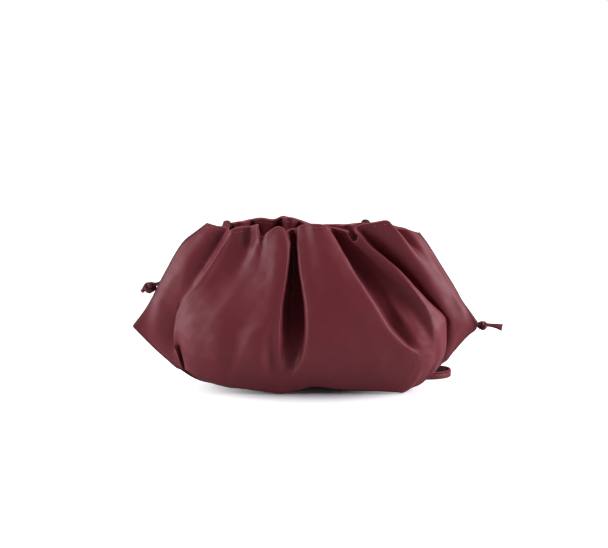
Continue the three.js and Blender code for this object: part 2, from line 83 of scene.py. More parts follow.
# Fold lines of the front, from its left seam to its right seam: name, height of the rim, height of the foot,
# and keys of height (0 at the foot, 1 at the rim), x and how far the line stands in front of the seam plane.
LINE_COLUMNS = ["name", "zRim", "zFoot", "keys"]
FRONT_LINES = [
    ["left_seam", 106.9, 40.7, [[0, -110, 1.7], [0.116, -104.1, 2], [0.254, -98.3, 2.4], [0.429, -92.5, 2.6], [0.542, -88.5, 2.4], [0.703, -82.6, 2], [0.827, -76.8, 1.8], [0.915, -69.5, 1.7], [1, -62.1, 1.7]]],
    ["left_wing", 106.0, 26.3, [[0, -96, 1.7], [0.059, -96.2, 4], [0.161, -95.7, 5.6], [0.326, -92.9, 6.6], [0.496, -88, 6.4], [0.649, -82.8, 6.2], [0.763, -77.9, 6.3], [0.851, -71.9, 5.9], [0.938, -65.2, 5.2], [1, -58.2, 3.6]]],
    ["left_ridge", 105.4, 19.1, [[0, -88.1, 1.7], [0.034, -87.5, 4.8], [0.083, -85.8, 6.8], [0.176, -83.4, 7.5], [0.267, -82.4, 7.9], [0.374, -82.3, 8.8], [0.458, -81.2, 9.4], [0.547, -79.7, 9.4], [0.644, -77.6, 9.2], [0.733, -75, 9], [0.814, -70.2, 8.4], [0.88, -64.5, 7.4], [0.945, -58.8, 6.2], [1, -53.7, 5]]],
    ["left_crease", 104.2, 13.9, [[0, -82, 1.7], [0.082, -82.7, 7.6], [0.134, -82.6, 8.6], [0.198, -81.8, 8], [0.297, -81.2, 7.3], [0.407, -80.8, 8.6], [0.489, -78.9, 10], [0.569, -75, 10.8], [0.646, -70.7, 9.8], [0.715, -66.4, 9], [0.785, -61.7, 8.2], [0.854, -57.2, 6.8], [0.93, -52.9, 5.2], [1, -50, 4.6]]],
    ["left_lip", 102.6, 13.0, [[0, -78.7, 4], [0.064, -80.1, 8.4], [0.128, -81.7, 11], [0.188, -83.5, 11.8], [0.26, -84, 11.6], [0.338, -83.4, 10.8], [0.417, -82.1, 10.4], [0.483, -78.8, 11.1], [0.557, -74, 12.1], [0.636, -68.6, 12.3], [0.718, -63.8, 12], [0.793, -59.4, 11.7], [0.867, -55.1, 11.1], [0.941, -51, 10.1], [1, -48.6, 9]]],
    ["dart", 103.4, 12.7, [[0, -77.4, 3.6], [0.061, -78.4, 5.6], [0.114, -79.6, 7], [0.173, -80.7, 9.5], [0.217, -81, 13.2], [0.264, -81.3, 13.6], [0.334, -81, 13], [0.405, -79.7, 12.6], [0.469, -76.6, 12.9], [0.545, -71.8, 13.3], [0.623, -66.4, 13.2], [0.704, -61.5, 12.8], [0.781, -57, 12.4], [0.858, -52.9, 11.8], [0.93, -49.6, 10.9], [1, -47.7, 9.8]]],
    ["dart_lip", 104.2, 13.7, [[0, -75.8, 10.5], [0.06, -77.1, 13.2], [0.114, -78.1, 15], [0.159, -78.7, 15.9], [0.202, -78.9, 16.2], [0.252, -78.9, 16], [0.322, -78.6, 15.2], [0.388, -77.2, 14.7], [0.456, -73.8, 14.7], [0.527, -68.8, 14.7], [0.608, -63.5, 14.2], [0.688, -58.5, 13.6], [0.765, -54.2, 13.1], [0.846, -50.1, 12.4], [0.918, -47.7, 11.4], [1, -46.6, 10.4]]],
    ["b_face", 105.3, 9.7, [[0, -70.6, 13.3], [0.089, -72.2, 18.5], [0.175, -72.7, 21], [0.25, -72.9, 21.1], [0.315, -72.7, 20], [0.387, -71.3, 18.8], [0.453, -67.9, 18.1], [0.525, -63, 17.4], [0.603, -57.7, 15.8], [0.682, -52.6, 14.5], [0.76, -48.5, 13.4], [0.839, -45.1, 12.2], [0.911, -43.7, 11.1], [1, -43.4, 10.8]]],
    ["b_valley", 105.9, 7.7, [[0, -62.8, 16.8], [0.086, -64.1, 21.5], [0.185, -64.7, 24.5], [0.27, -64.5, 24.5], [0.353, -63.7, 23.3], [0.436, -61.1, 22.2], [0.518, -56.3, 20.5], [0.599, -50.6, 18.1], [0.681, -45.1, 16.2], [0.765, -40.5, 14], [0.85, -36.9, 11.6], [0.924, -34.7, 8.8], [1, -34.7, 8.6]]],
    ["b_ridge", 107.4, 6.0, [[0, -55.1, 18.4], [0.093, -56.1, 24.1], [0.188, -56.3, 27.5], [0.271, -55.8, 27.8], [0.352, -54.9, 26.7], [0.444, -52.8, 25.1], [0.528, -48.7, 22.9], [0.606, -43.5, 20.3], [0.685, -38.6, 18.6], [0.768, -34.6, 16.7], [0.853, -32.1, 14.7], [0.923, -30.7, 13], [1, -30.5, 13]]],
    ["notch_left", 100.1, 5.0, [[0, -46.1, 20], [0.129, -46.5, 26.8], [0.255, -45.3, 28.9], [0.362, -42.8, 28.3], [0.468, -38.7, 27.5], [0.573, -35.5, 26], [0.675, -33.1, 22.9], [0.79, -30.2, 19.7], [0.887, -28.1, 16.9], [0.95, -27.5, 14.8], [1, -27.5, 12]]],
    ["b3_left", 102.7, 4.4, [[0, -40.4, 20.6], [0.127, -40.1, 28], [0.245, -38.5, 31.4], [0.35, -34.6, 31.8], [0.452, -29.5, 31], [0.546, -26.5, 29.1], [0.644, -26.1, 25.8], [0.755, -24.9, 22.3], [0.855, -23.9, 19.3], [0.929, -23.5, 17], [1, -24.3, 14.6]]],
    ["b3_ridge", 106.8, 3.1, [[0, -32.1, 20.8], [0.094, -29.7, 27.2], [0.183, -28, 31.7], [0.261, -28.3, 33.4], [0.352, -27.3, 32.9], [0.449, -24.2, 32], [0.538, -21.7, 30], [0.632, -20.4, 27.4], [0.738, -19.2, 24.5], [0.838, -17.9, 21.6], [0.926, -17.6, 18.6], [1, -18, 15.4]]],
    ["b3_hollow", 106.0, 1.6, [[0, -23.2, 20.5], [0.105, -22.5, 25.9], [0.177, -22.1, 28.1], [0.255, -22, 30.2], [0.344, -21.4, 31.9], [0.442, -19.8, 32], [0.532, -17.9, 30.6], [0.626, -16.4, 28.3], [0.731, -14.3, 25.6], [0.837, -12.8, 22.7], [0.935, -12.5, 18.8], [1, -13.7, 15]]],
    ["pleat_left_shoulder", 103.5, 0.6, [[0, -15.9, 20.5], [0.117, -15.5, 26.2], [0.192, -16.2, 29.4], [0.278, -16.8, 31.8], [0.373, -16.8, 32.8], [0.483, -16, 32], [0.573, -14.9, 30.2], [0.662, -13.5, 27.8], [0.763, -11.8, 25], [0.851, -10.4, 22.1], [0.932, -10, 18.3], [1, -11.5, 13.4]]],
    ["pleat_left_wall", 103.3, 1.6, [[0, -10.8, 20.5], [0.105, -11.9, 26], [0.155, -12.9, 27.3], [0.206, -13.6, 27.6], [0.268, -13.7, 27], [0.354, -13.4, 25.2], [0.454, -13, 21], [0.543, -12.3, 17.8], [0.633, -11.5, 15], [0.73, -10.2, 12.5], [0.828, -9.2, 10.5], [0.914, -9.1, 9], [1, -10.1, 7]]],
    ["pleat_floor", 103.4, 2.0, [[0, -9.2, 20.5], [0.101, -10.3, 26], [0.157, -10.3, 27], [0.207, -9.7, 26.4], [0.274, -9, 24.8], [0.362, -8.8, 20.8], [0.458, -8.7, 14.5], [0.576, -8.5, 8.5], [0.698, -7.9, 5.2], [0.81, -7.4, 4], [0.904, -7.6, 3], [1, -8.4, 2.5]]],
    ["pleat_right_wall", 104.2, 2.3, [[0, -7.8, 20.5], [0.097, -8.8, 26.1], [0.152, -6.7, 27.8], [0.206, -4.3, 27.8], [0.273, -2.6, 26.8], [0.363, -2.1, 24.2], [0.461, -2.3, 18.8], [0.577, -3.3, 13], [0.698, -4.5, 9.5], [0.809, -5.4, 8], [0.903, -5.9, 7], [1, -6.6, 6]]],
    ["pleat_right_lip", 106.2, 2.6, [[0, -6.3, 20.5], [0.091, -7.6, 26.3], [0.126, -6.4, 28.1], [0.172, -3.9, 29.6], [0.224, -1.8, 31], [0.294, -0.1, 32.2], [0.376, 0.6, 32.7], [0.473, 0.3, 31.9], [0.568, -0.7, 29.9], [0.662, -2.3, 27.4], [0.768, -4, 24.1], [0.86, -4.8, 19.9], [0.928, -5.2, 15.8], [1, -5.4, 12.2]]],
    ["pleat_right_crest", 107.2, 3.6, [[0, -2.2, 20.7], [0.069, -3.5, 26.4], [0.141, -1.1, 29.9], [0.208, 1.3, 32.2], [0.281, 3.2, 33.6], [0.363, 4, 34.2], [0.46, 3.7, 33.5], [0.555, 2.7, 31.6], [0.646, 1, 29], [0.748, -0.9, 25.6], [0.841, -2.1, 21.6], [0.915, -2.7, 17.4], [1, -3.3, 13.4]]],
    ["c_left", 108.1, 5.2, [[0, 4.5, 21], [0.111, 5.4, 30], [0.217, 8.1, 33.3], [0.319, 9.4, 34.4], [0.435, 8.7, 33.7], [0.525, 7.2, 32], [0.62, 5.1, 29.5], [0.726, 3.2, 26.2], [0.82, 2, 22.7], [0.901, 1.1, 18.7], [1, 0, 14.1]]],
    ["c_ridge", 108.7, 3.6, [[0, 25.1, 21], [0.123, 29.4, 29.5], [0.228, 29.3, 33.5], [0.327, 26.7, 34.5], [0.448, 22.3, 33.9], [0.56, 17.6, 32.1], [0.682, 13.5, 29], [0.803, 9.8, 25.2], [0.894, 7.6, 21.2], [1, 4.7, 16.4]]],
    ["c_mid", 108.5, 2.9, [[0, 42.3, 21], [0.129, 47.7, 29.5], [0.239, 48.1, 33], [0.343, 44.3, 34], [0.452, 38.6, 33.8], [0.564, 32.3, 32], [0.68, 26.4, 29.2], [0.795, 20.4, 25.7], [0.886, 16.1, 22], [1, 10.4, 17]]],
    ["c_lip", 107.6, 1.9, [[0, 57.6, 20.5], [0.119, 65.6, 25.7], [0.185, 67.5, 28.4], [0.237, 67.9, 30.2], [0.272, 66.3, 31.3], [0.296, 62.6, 32], [0.339, 57.8, 32.7], [0.399, 52, 33], [0.489, 46, 32.4], [0.577, 40.5, 31.1], [0.693, 33.2, 28], [0.796, 26.6, 24.4], [0.898, 20.5, 20.3], [1, 14.1, 15.5]]],
    ["c_roll", 106.9, 1.4, [[0, 59.9, 19.6], [0.12, 67.2, 25], [0.187, 69.3, 28], [0.242, 69.4, 29.8], [0.28, 67.7, 30.7], [0.307, 64.2, 31], [0.349, 59.7, 31.4], [0.407, 54, 31.5], [0.496, 47.6, 31.1], [0.584, 41.7, 29.8], [0.699, 34, 26.6], [0.801, 27.3, 23], [0.903, 21.1, 18.8], [1, 14.7, 13.8]]],
    ["c_under", 105.4, 0.8, [[0, 62.1, 18.5], [0.121, 68.8, 24], [0.186, 71, 27.1], [0.236, 71.3, 29], [0.27, 70.3, 29.8], [0.291, 68.4, 29.7], [0.315, 64.9, 28.6], [0.353, 60.6, 26.6], [0.407, 55.1, 24], [0.49, 48.5, 20], [0.574, 42.5, 15.8], [0.688, 34.7, 11], [0.794, 27.7, 8.4], [0.901, 21.4, 7.4], [1, 15.3, 6.5]]],
    ["d_face", 104.2, 1.9, [[0, 65.4, 16.5], [0.097, 71.1, 22], [0.174, 73.4, 26], [0.235, 72.9, 28.4], [0.28, 70.3, 29.3], [0.311, 67.4, 28.7], [0.352, 64.1, 27.2], [0.399, 60.3, 25.3], [0.456, 56.2, 22.4], [0.513, 52.7, 18.9], [0.571, 49.2, 16], [0.672, 43.2, 12.4], [0.77, 36.9, 10.6], [0.851, 31.4, 10.4], [0.938, 26.2, 11.8], [1, 21.9, 9.5]]],
    ["d_ridge", 102.9, 2.8, [[0, 67.4, 14.5], [0.09, 73.5, 18.8], [0.164, 76.7, 23.2], [0.227, 76.5, 26], [0.276, 73.9, 27.9], [0.312, 71.2, 28.7], [0.356, 68.4, 28.3], [0.402, 65.3, 26.9], [0.462, 61.3, 24.5], [0.519, 57.6, 20.7], [0.578, 53.9, 17.4], [0.675, 48.5, 14.4], [0.769, 41.9, 13], [0.861, 35.2, 12.6], [0.943, 29.6, 13.8], [1, 25.3, 12.5]]],
    ["d_loop", 99.3, 3.9, [[0, 71.0, 12.6], [0.085, 75.5, 16.6], [0.158, 79.1, 20.6], [0.229, 79.7, 23.6], [0.277, 77.4, 26], [0.32, 75.2, 27.2], [0.364, 72.8, 27.3], [0.412, 70.3, 26.1], [0.475, 66.5, 23.6], [0.536, 62.8, 20.2], [0.595, 59.1, 17.6], [0.682, 53.6, 15.6], [0.772, 47.2, 14.7], [0.861, 39.9, 14.1], [0.942, 33.2, 14.4], [1, 27.8, 14]]],
    ["d_hollow", 96.9, 5.2, [[0, 74.3, 10.5], [0.079, 77.9, 14.2], [0.163, 81.5, 18.4], [0.263, 81.7, 22.6], [0.317, 80.4, 24.7], [0.36, 78.9, 25.1], [0.41, 76.9, 24.2], [0.477, 73.6, 22.4], [0.542, 69.8, 20.1], [0.613, 64.6, 18.3], [0.708, 56.4, 16.8], [0.822, 46.5, 15.9], [0.922, 37.7, 15.2], [1, 30.6, 14.6]]],
    ["e_in", 98.1, 11.6, [[0, 81.1, 11.5], [0.068, 82.3, 15], [0.16, 83.7, 18.9], [0.241, 83.3, 22.1], [0.298, 82.1, 24.2], [0.351, 80.9, 24.8], [0.417, 79.2, 24.2], [0.488, 76.4, 22.9], [0.567, 72.5, 21.7], [0.648, 67, 20.8], [0.741, 59.1, 19.7], [0.846, 48.8, 18.2], [0.932, 39.9, 16.6], [1, 33, 14.8]]],
    ["e_mid", 99.4, 12.3, [[0, 82.2, 10.6], [0.068, 84, 13.8], [0.154, 85.7, 17.3], [0.235, 85.5, 20.3], [0.298, 84.7, 22.3], [0.362, 83.4, 22.9], [0.428, 81, 22.9], [0.497, 77.4, 22.3], [0.574, 72.7, 21.6], [0.656, 66.8, 20.9], [0.748, 58.7, 19.9], [0.848, 48.9, 18.3], [0.929, 40.4, 16.7], [1, 33.4, 14.7]]],
    ["e_side", 100.3, 12.9, [[0, 83.1, 9.2], [0.068, 85.4, 12], [0.15, 87.3, 15.2], [0.23, 87.3, 18], [0.3, 86.7, 19.8], [0.375, 85.4, 20.4], [0.438, 82.3, 20.8], [0.507, 77.9, 21], [0.581, 72.5, 20.9], [0.664, 66.2, 20.6], [0.755, 58.2, 19.7], [0.851, 48.8, 18.1], [0.928, 40.6, 16.5], [1, 33.7, 14.4]]],
    ["e_lip", 102.3, 13.9, [[0, 84.3, 7], [0.06, 87.2, 9], [0.127, 89.1, 11], [0.181, 89.8, 12.3], [0.286, 89.7, 13.2], [0.376, 89.4, 14.2], [0.422, 87, 15.6], [0.477, 81.8, 17.6], [0.53, 77.3, 18.6], [0.597, 71.8, 19.2], [0.684, 64.8, 19.4], [0.77, 56.9, 18.8], [0.854, 48.3, 17.3], [0.922, 40.8, 15.7], [1, 34, 13.6]]],
    ["e_undercut", 105.0, 16.7, [[0, 87.2, 1.7], [0.081, 88.1, 4.2], [0.135, 88.6, 5], [0.239, 88.7, 5.6], [0.328, 88.5, 5.8], [0.379, 86.3, 5.8], [0.432, 81.7, 5.8], [0.485, 77.2, 5.6], [0.551, 71.8, 5.4], [0.639, 64.8, 5.2], [0.726, 56.8, 5], [0.813, 48.4, 4.8], [0.89, 40.8, 4.8], [1, 32.4, 5.5]]],
    ["f_in", 106.7, 19.0, [[0, 90.4, 1.7], [0.117, 91.5, 5.3], [0.201, 92, 6.3], [0.276, 92.1, 6.8], [0.336, 90.4, 7], [0.399, 86.2, 7.1], [0.458, 81.4, 7.1], [0.532, 75.6, 7], [0.616, 68.2, 6.8], [0.708, 59.9, 6.6], [0.799, 51.6, 6.4], [0.887, 43.6, 6.4], [1, 35.3, 6.5]]],
    ["f_face", 108.2, 22.8, [[0, 93.2, 1.7], [0.098, 94.2, 5.1], [0.177, 94.4, 6.3], [0.262, 92.7, 7.3], [0.34, 87.8, 8], [0.439, 80.6, 8.6], [0.569, 71.6, 9.2], [0.702, 62.6, 9.5], [0.811, 54.9, 9.5], [0.908, 48.6, 9.2], [1, 43.5, 8.8]]],
    ["f_lip", 110.1, 30.1, [[0, 99.3, 1.7], [0.103, 98, 5], [0.204, 95.2, 6.7], [0.313, 89.6, 8.1], [0.452, 82.2, 9.2], [0.599, 74.7, 10], [0.704, 69.2, 10.4], [0.768, 66.3, 10.7], [0.853, 62.8, 11.2], [0.922, 58.5, 11.5], [0.961, 55.7, 11.3], [1, 53.1, 10.5]]],
    ["g_valley", 105.2, 35.5, [[0, 104.3, 1.7], [0.064, 103.6, 3], [0.16, 101.5, 4], [0.274, 97.2, 4.8], [0.396, 91.6, 5.6], [0.547, 84.1, 6.7], [0.678, 77.3, 7.3], [0.773, 71, 6.8], [0.835, 65.6, 5.6], [0.895, 61.3, 4.6], [0.952, 57.6, 4.2], [1, 54.7, 4.2]]],
    ["g_top", 103.2, 38.8, [[0, 108.5, 1.7], [0.055, 106.8, 2.2], [0.138, 103.5, 2.8], [0.281, 98.2, 3.6], [0.434, 91.7, 4.3], [0.591, 85.2, 4.8], [0.727, 79, 5], [0.847, 73.2, 4.8], [0.931, 69.1, 4.3], [1, 65.3, 3.6]]],
    ["right_seam", 100.9, 42.5, [[0, 110, 2.3], [0.097, 106.1, 1.8], [0.252, 99.6, 1.7], [0.359, 96.2, 1.7], [0.641, 86, 1.7], [0.89, 76.9, 1.7], [1, 72.1, 1.7]]],
]
BACK_FOLDS = [
    ["left_seam", -62.1, -80.4, -90, -98.5, -110, 106.9, 40.7, 0, 1.7, 1.8, 2.6, 2.2, 1.7, 0],
    ["left_wing", -59.5, -75.9, -85.9, -92.5, -96, 105.6, 26.3, 0, 3.5, 6.5, 8, 7, 1.7, 0],
    ["left_crease", -56, -68, -79, -83, -78.8, 104.4, 11.9, 0, 4, 5.5, 6.5, 6, 1.7, 0],
    ["h_ridge", -50.5, -58, -70, -76, -72, 104.4, 9.5, 24, 3, 3, 2, 0, 0, 0],
    ["h_valley", -42, -49, -57, -62, -60, 107.0, 7.2, 29, -4, -6, -4, 0, 0, 0.42],
    ["i_ridge", -35.5, -38, -43, -47, -48, 107.4, 4, 32, 2.0, 2, 1, 0, 0, 0],
    ["i_valley", -28, -29, -31, -34, -36, 108.4, 2, 33, -0.5, -6, -7, -2, 0, 0.3],
    ["j_ridge", -20.5, -19.5, -19, -20, -24, 107.5, 0.5, 33.5, 1.0, 2, 1, 0, 0, 0],
    ["j_lip", -14.8, -13.5, -13, -13.5, -17, 109.3, 0.2, 33.3, 2.0, 1, -3, -3, 0, 0.2],
    ["j_valley", -10.5, -10, -8, -7, -10, 108.9, 0, 33, -1.0, -9, -11, -8, 0, 0.2],
    ["k_ridge", -3.5, -1, 2, 4, 3, 107.4, 0, 34, 1.0, 2, 1.5, 0.5, 0, 0],
    ["k_valley", 6.5, 9.5, 13, 17, 16, 105, 0, 33.5, -6, -7, -5, -1, 0, 0.38],
    ["l_ridge", 16, 19.5, 25, 30, 29, 103.9, 0, 34, 2.5, 2, 1, 0, 0, 0],
    ["l_valley", 27, 31, 37, 43, 41, 105.3, 0.5, 33, -7, -9, -9, -5, 0, 0.27],
    ["m_ridge", 38.5, 43, 50, 56, 53, 104.8, 1.5, 32, 2.5, 2, 1.5, 0, 0, 0],
    ["m_valley", 47, 53, 61, 68, 64, 104.4, 3, 29, -4.5, -6, -5, -1, 0, 0.38],
    ["n_ridge", 54, 61, 71, 79, 74, 105, 7, 25, 0.5, 1.5, 2, 0.5, 0, 0],
    ["right_crease", 60.5, 69, 80, 89, 86.9, 104, 16.1, 0, 4.6, 5.5, 6.5, 6, 1.7, 0],
    ["right_wing", 66, 76.5, 88, 97, 97.7, 102.6, 28.6, 0, 4, 6, 7, 6, 1.7, 0],
    ["right_top", 69.5, 79.8, 90, 99.6, 105.5, 101.5, 36.2, 0, 3, 4, 4.5, 3.5, 1.7, 0],
    ["right_seam", 72.6, 82.3, 91.3, 100, 110, 100.4, 42.1, 0, 1.7, 1.7, 1.7, 1.9, 2.5, 0],
]

STRAP_COLUMNS = ["leg", "x", "y", "z", "wideX", "wideY", "wideZ", "full"]
STRAP_ROUTE = [
    ["left_hole", -93.0, 0, 68.25, 0.6, 0, -0.8, 0],
    ["left_hole", -90.6, 0, 70.2, 0.6, 0, -0.8, 0],
    ["left_inside", -84.5, 0.2, 75.8, 0.66, 0, -0.75, 0.4],
    ["left_inside", -74, 0.6, 85.5, 0.66, 0, -0.75, 1],
    ["left_inside", -64, 0.8, 93.8, 0.66, 0, -0.75, 1],
    ["left_inside", -56.5, 1.0, 99.2, 0.75, 0, -0.65, 1],
    ["left_mouth", -52, 3.0, 103, 0.93, 0, -0.35, 1],
    ["left_mouth", -50.6, 7.2, 105.3, 1, 0, 0, 1],
    ["left_rim", -50.5, 12.4, 106.6, 1, 0, 0, 1],
    ["left_drop", -50.5, 16.9, 104.0, 1, 0, 0, 1],
    ["left_drop", -50.5, 19.4, 97, 1, 0, 0, 1],
    ["left_drop", -50.5, 26.0, 76, 1, 0, 0, 1],
    ["left_drop", -50.5, 33.0, 54, 1, 0, 0, 1],
    ["left_drop", -50.5, 34.7, 40, 1, 0, 0, 1],
    ["left_drop", -50.5, 35.0, 26, 1, 0, 0, 1],
    ["left_drop", -50.5, 36.4, 15, 1, 0, 0, 1],
    ["left_landing", -50.5, 40.0, 6.0, 1, 0, 0, 1],
    ["left_landing", -50.3, 46.0, 2.2, 1, 0, 0.1, 1],
    ["left_landing", -48.8, 52.2, 2.2, 0.9, 0, 0.45, 1],
    ["left_landing", -45.0, 57.6, 2.7, 0.55, -0.25, 0.8, 1],
    ["far_strand", -38, 61.2, 2.75, 0.1, -0.1, 1, 1],
    ["far_strand", -27, 62.6, 2.75, 0, 0, 1, 1],
    ["far_strand", 15, 62.8, 2.75, 0, 0, 1, 1],
    ["far_strand", 56, 61.4, 2.75, 0, 0, 1, 1],
    ["loop", 72, 56.6, 2.75, 0, 0, 1, 1],
    ["loop", 82, 52.8, 2.75, 0, 0, 1, 1],
    ["loop", 89.4, 49.0, 2.75, 0, 0, 1, 1],
    ["loop", 94.1, 44.6, 2.75, 0, 0, 1, 1],
    ["loop", 95.3, 38, 2.75, 0, 0, 1, 1],
    ["loop", 93.2, 31.8, 2.75, 0, 0, 1, 1],
    ["loop", 87.5, 27.2, 2.75, 0, 0, 1, 1],
    ["loop", 79, 25.3, 2.75, 0, 0, 1, 1],
    ["near_strand", 69, 25.9, 2.75, 0, 0, 1, 1],
    ["near_strand", 58, 28.4, 2.75, 0, 0, 1, 1],
    ["near_strand", 42, 30.6, 2.75, 0, 0, 1, 1],
    ["near_strand", 14, 31, 2.75, 0, 0, 1, 1],
    ["near_strand", -30, 31, 2.75, 0, 0, 1, 1],
    ["left_turn", -36.7, 33.8, 2.75, 0, 0, 1, 1],
    ["left_turn", -39.5, 40.5, 2.75, 0, 0, 1, 1],
    ["left_turn", -36.7, 47.2, 2.75, 0, 0, 1, 1],
    ["inner_strand", -30, 50, 2.75, 0, 0, 1, 1],
    ["inner_strand", 14, 51.4, 2.75, 0, 0, 1, 1],
    ["right_turn", 26.5, 50.4, 2.75, 0, 0, 1, 1],
    ["right_turn", 33.8, 47.4, 3.4, 0.25, 0, 0.97, 1],
    ["right_lift", 37.5, 43.6, 6.0, 0.75, 0, 0.66, 1],
    ["right_lift", 38.5, 40.6, 10.0, 1, 0, 0.1, 1],
    ["right_drop", 38.5, 38.2, 15, 1, 0, 0, 1],
    ["right_drop", 38.5, 36.0, 22, 1, 0, 0, 1],
    ["right_drop", 38.5, 33.6, 38, 1, 0, 0, 1],
    ["right_drop", 38.5, 29.6, 64, 1, 0, 0, 1],
    ["right_drop", 38.5, 25.6, 87, 1, 0, 0, 1],
    ["right_drop", 38.5, 22.0, 98, 1, 0, 0, 1],
    ["right_drop", 38.5, 19.7, 103.9, 1, 0, 0, 1],
    ["right_rim", 38.5, 15.6, 106.8, 1, 0, 0, 1],
    ["right_mouth", 39.6, 9.5, 105.7, 0.97, 0.1, 0.1, 1],
    ["right_mouth", 44, 3.2, 102.2, 0.75, 0.1, 0.5, 1],
    ["right_inside", 52, 1.5, 98.3, 0.55, 0, 0.83, 1],
    ["right_inside", 63, 1.0, 91, 0.6, 0, 0.8, 1],
    ["right_inside", 75, 0.8, 80, 0.68, 0, 0.73, 1],
    ["right_inside", 88, 0.5, 65, 0.72, 0, 0.69, 1],
    ["right_inside", 99, -0.2, 52.4, 0.72, 0, 0.69, 0.3],
    ["right_hole", 106.5, 0, 44.6, 0.7, 0, 0.7, 0],
    ["right_hole", 109.2, 0, 42.4, 0.7, 0, 0.7, 0],
]

KNOT_COLUMNS = ["name", "x", "z", "loop", "lace", "turnDeg", "stubSide"]
KNOTS = [
    ["knot_left", -99.4, 65.8, 1.1, 0.84, 52, 1],
    ["knot_right", 113.4, 41.0, 0.84, 0.68, 48, -1],
]
KNOT_END_COLUMNS = ["knot", "end", "out", "up", "back", "wide"]
KNOT_ENDS = [
    ["knot_left", "stub", 6.6, 3.2, 0, 0.8],
    ["knot_left", "stub", 4.6, 2.3, 0, 0.8],
    ["knot_left", "stub", 2.4, 1.9, 0, 1],
    ["knot_left", "tail", -1.9, 2.0, -0.6, 1],
    ["knot_left", "tail", -3.2, 0.5, -1.2, 1],
    ["knot_left", "tail", -4.1, -1.2, -0.6, 0.9],
    ["knot_left", "tail", -5.3, -2.5, 0, 0.95],
    ["knot_right", "stub", 4.2, 0.2, 0, 1],
    ["knot_right", "stub", 2.6, 0.8, -0.5, 1],
    ["knot_right", "stub", 1.4, 1.7, -0.8, 1],
    ["knot_right", "tail", -1.5, 1.7, 0.4, 1],
    ["knot_right", "tail", -2.6, 0.7, -0.3, 1],
    ["knot_right", "tail", -5.5, 0.2, 0, 1.05],
    ["knot_right", "tail", -9.0, -0.3, 0, 1.5],
    ["knot_right", "tail", -13.0, -1.3, 0, 2.3],
]


def named(columns, rows):
    return [dict(zip(columns, row)) for row in rows]


# --------------------------------------------------------------- helpers ----
def smooth(a, b, v):
    t = np.clip((v - a) / (b - a), 0, 1)
    return t * t * (3 - 2 * t)


def curve(xs, ys, x):
    """Shape-keeping cubic through (xs, ys)."""
    xs, ys = np.asarray(xs, float), np.asarray(ys, float)
    x = np.clip(x, xs[0], xs[-1])
    h = np.diff(xs)
    s = np.diff(ys) / h
    m = np.zeros(len(xs))
    m[0], m[-1] = s[0], s[-1]
    for i in range(1, len(xs) - 1):
        if s[i - 1] * s[i] > 0:
            a, b = 2 * h[i] + h[i - 1], h[i] + 2 * h[i - 1]
            m[i] = (a + b) / (a / s[i - 1] + b / s[i])
    i = np.clip(np.searchsorted(xs, x) - 1, 0, len(xs) - 2)
    t = (x - xs[i]) / h[i]
    u = 1 - t
    return ((1 + 2 * t) * u * u * ys[i] + t * u * u * h[i] * m[i]
            + t * t * (3 - 2 * t) * ys[i + 1] - t * t * u * h[i] * m[i + 1])


def keyed(f):
    """A back row as keys like those of the front: its swell and its own depth at close heights."""
    w = np.array([0, 0.03, 0.07, 0.12, 0.18, 0.25, 0.32, 0.4, 0.5, 0.6, 0.68, 0.75, 0.82, 0.9, 1])
    fade = smooth(f["ends"] - FADE, f["ends"] + FADE, w) if f["ends"] > 0 else 1.0
    x = curve(HEIGHTS, [f["xFoot"], f["xLow"], f["xMid"], f["xHigh"], f["xRim"]], w)
    proud = (f["swell"] * curve(SWELL[:, 0], SWELL[:, 1], w)
             + fade * curve(HEIGHTS, [f["proudFoot"], f["proudLow"], f["proudMid"], f["proudHigh"], f["proudRim"]], w))
    return dict(name=f["name"], zRim=f["zRim"], zFoot=f["zFoot"], keys=np.stack([w, x, proud], -1))


def fold_line(f, v):
    """Points of one fold line as (x, proud, z); v from -1 at the bottom seam to 1 at the rim."""
    keys = np.asarray(f["keys"], float)
    foot = keys[0, 2]
    wing = foot < 3
    turn = WING_TURN if wing else 0.0
    w = np.where(v >= 0, turn + (1 - turn) * v, turn * (1 + v))
    x = curve(keys[:, 0], keys[:, 1], w)
    proud = curve(keys[:, 0], keys[:, 2], w)
    z = f["zFoot"] + (f["zRim"] - f["zFoot"]) * w
    if not wing:
        q = np.clip(-v, 0, 1)
        under = v < 0
        x = np.where(under, x * (1 - 0.03 * q), x)
        proud = np.where(under, foot * (1 - q) + 0.25 * q, proud)
        z = np.where(under, np.maximum(f["zFoot"] - UNDERSIDE_FALL * foot * q, 0), z)
    return np.stack([x, proud, z], -1)


def across(points, steps):
    """Rounded curves through the fold points of every height. points is [height, fold, 3]."""
    p = points
    q = np.concatenate([2 * p[:, :1] - p[:, 1:2], p, 2 * p[:, -1:] - p[:, -2:-1]], 1)
    t = np.concatenate([np.zeros((len(p), 1)), np.cumsum(np.sqrt(np.linalg.norm(np.diff(q, axis=1), axis=2)) + 1e-6, 1)], 1)
    out = []
    for k, n in enumerate(steps):
        t0, t1, t2, t3 = (t[:, k + i][:, None] for i in range(4))
        p0, p1, p2, p3 = (q[:, k + i] for i in range(4))
        for j in range(n):
            s = t1 + (t2 - t1) * j / n
            a1 = (t1 - s) / (t1 - t0) * p0 + (s - t0) / (t1 - t0) * p1
            a2 = (t2 - s) / (t2 - t1) * p1 + (s - t1) / (t2 - t1) * p2
            a3 = (t3 - s) / (t3 - t2) * p2 + (s - t2) / (t3 - t2) * p3
            b1 = (t2 - s) / (t2 - t0) * a1 + (s - t0) / (t2 - t0) * a2
            b2 = (t3 - s) / (t3 - t1) * a2 + (s - t1) / (t3 - t1) * a3
            out.append((t2 - s) / (t2 - t1) * b1 + (s - t1) / (t2 - t1) * b2)
    out.append(p[:, -1])
    return np.stack(out, 1)


def unit(a):
    return a / np.maximum(np.linalg.norm(a, axis=-1, keepdims=True), 1e-9)


